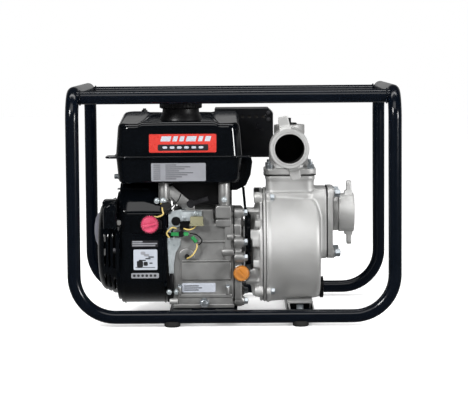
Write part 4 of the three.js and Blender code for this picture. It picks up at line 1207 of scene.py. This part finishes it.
def build_posts():
    top = TANK_SEAM - 44.1
    y = CRANK.y
    left = [
        turned("z", [(0, top), (9, top), (9, top - 44), (0, top - 44)], (-117.4, y - 60), 40),
        rounded_block("z", (-128, -106), (y - 68, y - 50), (top - 44, top - 32), 4, 1),
    ]
    piece("post_left", left, CAST_GREY, replaces=["tank_post_left"], bevel=0.8)
    arm = [(-116, 226), (-103, 228), (-66, 196), (-66, 184), (-78, 184), (-116, 212)]
    piece("post_strut", slab("y", arm, (y - 62, y - 55)), CAST_GREY, bevel=1.2)
    right = [
        bar("z", 9.5, (194, top), (-16.4, y - 66), 40, 1.2),
        rounded_block("z", (-31, -5), (y - 80, y - 50), (184, 196), 5, 1.2),
    ]
    piece("post_right", right, CAST_GREY, replaces=["tank_post_right"], bevel=0.6)
    screws = [
        bolt("y", (-128.5, y - 68, 204), 8, 5, direction=-1),
        bolt("y", (-118, y - 69, 204), 9, 6, direction=-1),
        bolt("y", (-16.4, y - 75, 206), 8, 4, direction=-1),
    ]
    piece("post_screws", screws, PALE_ZINC)


def build_guards():
    y = CRANK.y
    shield = [(-8, 274), (29, 273), (31, 266), (28, 244), (20, 226), (4, 218), (-8, 218)]
    # painted shade: the strip is a black sheet in the shadowed gap between the side cover and the pump
    # adapter; the shield is a real plate
    strip = [(13, 226), (17.5, 226), (20.5, 190), (27.5, 178), (27.5, 96), (19.5, 96), (17, 180)]
    shapes = [slab("y", shield, (y - 30, y - 28.8)), slab("y", strip, (y - 62, y - 60.8))]
    piece("heat_shield_and_gap_shade", shapes, GLOSS_BLACK, bevel=0.3)
    panel = [(-103, 196), (-26, 196), (-22, 204), (-22, 233), (-103, 233)]
    piece("air_guide", slab("y", panel, (y - 50, y - 48.8)), SOFT_BLACK, bevel=0.5)
    piece("engine_plate", block((-72, -32), (y - 78, y + 70), (20.5, 24.2)), FRAME_BLACK, bevel=0.5)


WIRES = [
    ("switch_wire", 1.3, WIRE_YELLOW,
     [(-121, 8, 20), (-119, -1, 10), (-118, -3, 3), (-126, -4, -1), (-136, -3, -1)]),
    ("loop_wire_left", 1.3, WIRE_YELLOW,
     [(-96, -3, -21), (-102, -4, -19), (-108, -4, -23), (-112, -4, -29), (-108, -2, -36)]),
    ("loop_wire_right", 1.3, WIRE_YELLOW, [(-84, -3, -21), (-76, -4, -23), (-68, -3, -21), (-64, 2, -17)]),
    ("stop_wire", 1.1, SOFT_BLACK,
     [(-74, -2, -29), (-62, -4, -32), (-54, -4, -40), (-57, -3, -47), (-64, -2, -49)]),
    ("sensor_wire", 1.3, WIRE_YELLOW, [(-62, -2, -47), (-63, -4, -55), (-70, -3, -66), (-79, 4, -72)]),
    ("throttle_cable", 1.0, SOFT_BLACK,
     [(-88, 6, 36), (-92, 1, 27), (-101, -1, 17), (-112, -1, 8), (-122, 2, 2)]),
    ("ground_lead", 0.9, SOFT_BLACK, [(-104, 4, 30), (-97, -1, 22), (-99, -2, 14), (-108, -2, 4)]),
]


def build_wiring():
    """The leads on the front, with their plugs and clamp."""
    place = CRANK + Vector((0, -82, 57))
    for name, radius, look, points in WIRES:
        tube_piece(name, points, radius, look, place=place)
    for side, x in (("left", (-105, -91)), ("right", (-85, -76))):
        plug = rounded_block("y", x, (-33, -27), (-7, 0), 1.6, 0.5)
        piece(f"plug_green_{side}", plug, GREEN, place=place)
    band = rounded_block("y", (-92, -84), (-34.4, -25.6), (-8, 2), 1.6, 0.5)
    piece("plug_band", band, SOFT_BLACK, place=place)
    sleeve = sweep([(-70, -2, -35), (-63, -3, -44)], 3.2, sides=12)
    piece("sleeve_green", sleeve, GREEN, place=place)
    piece("wire_grommet", bar("y", 4.2, (-79, -72), (-79, -12), 24, 0.8), RUBBER, place=CRANK)
    piece("wire_clamp", rounded_block("y", (-122, -104), (3, 22), (1, 9), 5, 1), RUBBER, place=place)
    terminals = [
        rounded_block("y", (-73, -51.5), (-14, -1), (-9, 3), 1.6, 0.6),
        block((-74, -50.5), (-9.6, 3), (-16.5, -13.5)),
    ]
    piece("terminal_block", terminals, BEIGE, bevel=0.4, place=place)


def build_controls():
    place = CRANK + Vector((0, -76, 0))
    plate = [
        (-113.5, 30), (-113.5, 58), (-109, 63), (-96, 66), (-88, 67), (-88, 40), (-104, 34), (-106, 28),
    ]
    bracket = [
        slab("y", plate, (-1.6, 0)),
        slab("y", rounded_rectangle((-89, -54), (48, 65), 3), (-3, -1.4)),
        block((-89, -54), (-3, 30), (63.4, 65)),
        block((-114, -109), (-1.6, 16), (36, 64)),
        bolt("y", (-64, -3, 60), 7, 4.5, direction=-1),
        bolt("y", (-84, -3, 54), 5, 3.5, direction=-1),
    ]
    piece("control_bracket", bracket, PALE_ZINC, replaces=["control_plate"], bevel=0.3, place=place)
    # painted shade: a black disc stands for the bracket's dark hole, and a black slab paints the shadow
    # under the box above it
    opening = [
        bar("y", 7.6, (-2.0, -1.2), (-97, 47.6), 40),
        slab("y", [(-91, 33), (-76, 33), (-74, 47), (-90, 47)], (-2.2, -1.2)),
    ]
    piece("bracket_hole_painted_shade", opening, SOFT_BLACK, place=place)
    strip = [
        (-109, -44), (-101, -44), (-101.5, -26), (-98, -6), (-90, 8), (-89.5, 20), (-112.5, 20), (-110, -24),
    ]
    piece("zinc_strip", slab("y", strip, (-1.2, 0.4)), PALE_ZINC, bevel=0.3, place=place)
    hose = [(-105, -1, -40), (-105, -2, -56), (-106, -1, -70), (-108, 2, -86)]
    tube_piece("drain_hose", hose, 3.6, SOFT_BLACK, 16, place)
    nuts = [bolt("y", (x, 1, -71), 8, 6, direction=-1) for x in (-109, -97)]
    piece("strip_nuts", nuts, PALE_ZINC, place=place)


def build_exhaust_details():
    low, high = node_box("muffler_guard")
    screws = []
    for z in (high.z - 7, high.z - 18.5):
        screws.append(bolt("y", (high.x - 8, low.y, z), 6, 3.5, direction=-1))
    piece("guard_screws", screws, DARK_STEEL)
    low, high = node_box("muffler")
    place = CRANK + Vector((0, 206, 180))
    end = [rounded_block("y", (low.x + 14, high.x - 14), (-22, 24), (-1, 2.4), 9, 1)]
    for x in (low.x + 7, high.x - 7):
        end += [bolt("y", (x, 0, z), 7, 5) for z in (-27, 29)]
    piece("muffler_end", end, IRON, place=place)
    outlet = [ring("y", 12.5, 7.2, (2, 10), (40, 0), 40, 0.8)]
    for k in range(-2, 3):
        outlet.append(bar("x", 0.5, (33.5, 46.5), (8.6, 2.6 * k), 8))
        outlet.append(bar("z", 0.5, (-6.5, 6.5), (40 + 2.6 * k, 9.2), 8))
    piece("spark_arrestor", outlet, DARK_STEEL, place=place)


def build_head_details():
    bolts = []
    for x in (-33, 33):
        for z in (-33, 33):
            bolts.append(bolt("y", (-52 + x, 192.4, z), 8, 5))
            bolts.append(bolt("y", (-52 + x * 1.18, 169.8, z * 1.18), 9, 6))
    piece("head_bolts", tilted(merged(bolts)), ZINC, place=CRANK)
    relief = [
        rounded_block("y", (-96.5, -7.5), (-44.5, 44.5), (170.4, 174), 13, 0.6),
        rounded_block("y", (-80, -24), (-24, 24), (192, 194.6), 9, 1),
    ]
    piece("rocker_cover_relief", tilted(merged(relief)), CAST_SILVER, place=CRANK)


def build_case_rear():
    relief = [
        rounded_block("y", (-92, -12), (-60, 8), (76, 80.6), 7, 0.8),
        rounded_block("z", (-102, -2), (58, 84), (-98.2, -90), 6, 1),
    ]
    relief += [rounded_block("y", (x - 2, x + 2), (-58, 6), (79, 83.4), 1.8, 0.5) for x in (-74, -52, -30)]
    piece("case_rear_relief", relief, CAST_GREY, place=CRANK)
    bolts = [bolt("z", (x, 75, -90), 12, 8) for x in (-90, -14)]
    bolts.append(bolt("y", (-52, 78, -76), 13, 8, washer=2))
    bolts += [bolt("y", (-122, 112, z), 8, 5) for z in (34, 78)]
    piece("rear_bolts", bolts, ZINC, place=CRANK)


def at_head(x, y, z):
    """A place given along the tilted cylinder, in machine coordinates."""
    return CRANK + turn_about("x", CYLINDER_TILT) @ Vector((x, y, z))


def build_hoses():
    lead = [at_head(-52, 143, -69), (-58, 77, 108), (-78, 62, 106), (-99, 46, 128), (-112.5, 36, 150)]
    tube_piece("plug_lead", lead, 3.4, RUBBER, 16)
    breather = [at_head(-82, 184, 40), (-90, 84, 252), (-104, 88, 263), (-119, 90, 267)]
    tube_piece("breather_hose", breather, 5.0, RUBBER, 20)
    fuel = [(-108, 2, 236), (-107, 20, 224), (-112, 40, 208), (-126, 56, 200)]
    tube_piece("fuel_hose", fuel, 3.6, RUBBER, 16)
    clamp = spun(bar("y", 4.8, (-3, 3), sides=20, bevel=0.5), "x", -40)
    clamps = [moved(clamp, place) for place in ((-107, 17, 226), (-118, 47, 204.5))]
    piece("hose_clamps", clamps, ZINC)


def build_intake_details():
    fittings = [
        ring("z", 17.2, 14.5, (79.5, 82.5), (-137, 0), bevel=0.4),
        bolt("z", (-137, 0, 62), 10, 6, direction=-1),
        bolt("y", (-128, 18, 97), 7, 4),
        bar("y", 4.2, (17, 25), (-148, 96), 20, 0.8),
    ]
    fittings += [bolt("x", (-112.3, y, 97), 7, 4) for y in (-10, 10)]
    piece("carburettor_fittings", fittings, ZINC, place=CRANK + Vector((0, 140, 0)))
    low, high = node_box("air_cleaner_cover")
    relief = []
    for k in range(-2, 3):
        x = (low.x + high.x) / 2 + 13 * k
        y, z = (high.y - 4, high.y + 0.6), (low.z + 8, high.z - 24)
        relief.append(rounded_block("x", y, z, (x - 1.6, x + 1.6), 1.4, 0.5))
    for y in (low.y - 1.5, high.y - 2.5):
        x, z = (low.x + 34, low.x + 54), (low.z - 9, low.z + 12)
        relief.append(rounded_block("y", x, z, (y, y + 4), 3, 0.8))
    piece("air_cleaner_relief", relief, SOFT_BLACK)


# ---- CAD nodes that keep their shape ---------------------------------------------------------

KEPT = [
    (FRAME_BLACK, ["engine_crossmember_left", "engine_crossmember_right", "pump_crossmember"]),
    (STEEL, ["crank_bearing_left", "crank_bearing_right", "crankshaft", "camshaft"]),
    (DARK_STEEL, ["throttle_lever", "governor_arm"]),
    (CAST_GREY, ["cylinder_head"]),
    (CAST_SILVER, ["rocker_cover", "flywheel", "carburettor"]),
    (IRON, ["impeller", "volute", "muffler"]),
    (HEAT_BLACK, ["muffler_guard"]),
    (LABEL_WHITE, ["spark_plug"]),
    (RUBBER, ["plug_cap", "suction_gasket", "discharge_gasket", "flap_valve"]),
    (SOFT_BLACK, ["starter_pulley", "air_cleaner_base", "air_cleaner_cover", "cleaner_nut",
                  "choke_lever", "fuel_lever", "shaft_seal"]),
]


def dress(node, look):
    obj = frame["nodes"][node]
    obj.data.materials.clear()
    obj.data.materials.append(look[0])
    add_bevel(obj, 0.7)
    obj.data.polygons.foreach_set("use_smooth", [True] * len(obj.data.polygons))
    split = obj.modifiers.new("split", "EDGE_SPLIT")
    split.split_angle = math.radians(38)


build_camera()
build_studio()
build_frame()
build_pump_casing()
build_adapter()
build_ports()
build_elbow()
build_plugs()
build_bracket()
build_crankcase()
build_side_cover()
build_dipstick()
build_shroud()
build_switch()
build_recoil()
build_starter_grip()
build_tank()
build_fuel_cap()
build_tank_labels()
build_engine_labels()
build_posts()
build_guards()
build_wiring()
build_controls()
build_exhaust_details()
build_head_details()
build_case_rear()
build_hoses()
build_intake_details()
for kept_look, kept_nodes in KEPT:
    for kept_node in kept_nodes:
        dress(kept_node, kept_look)
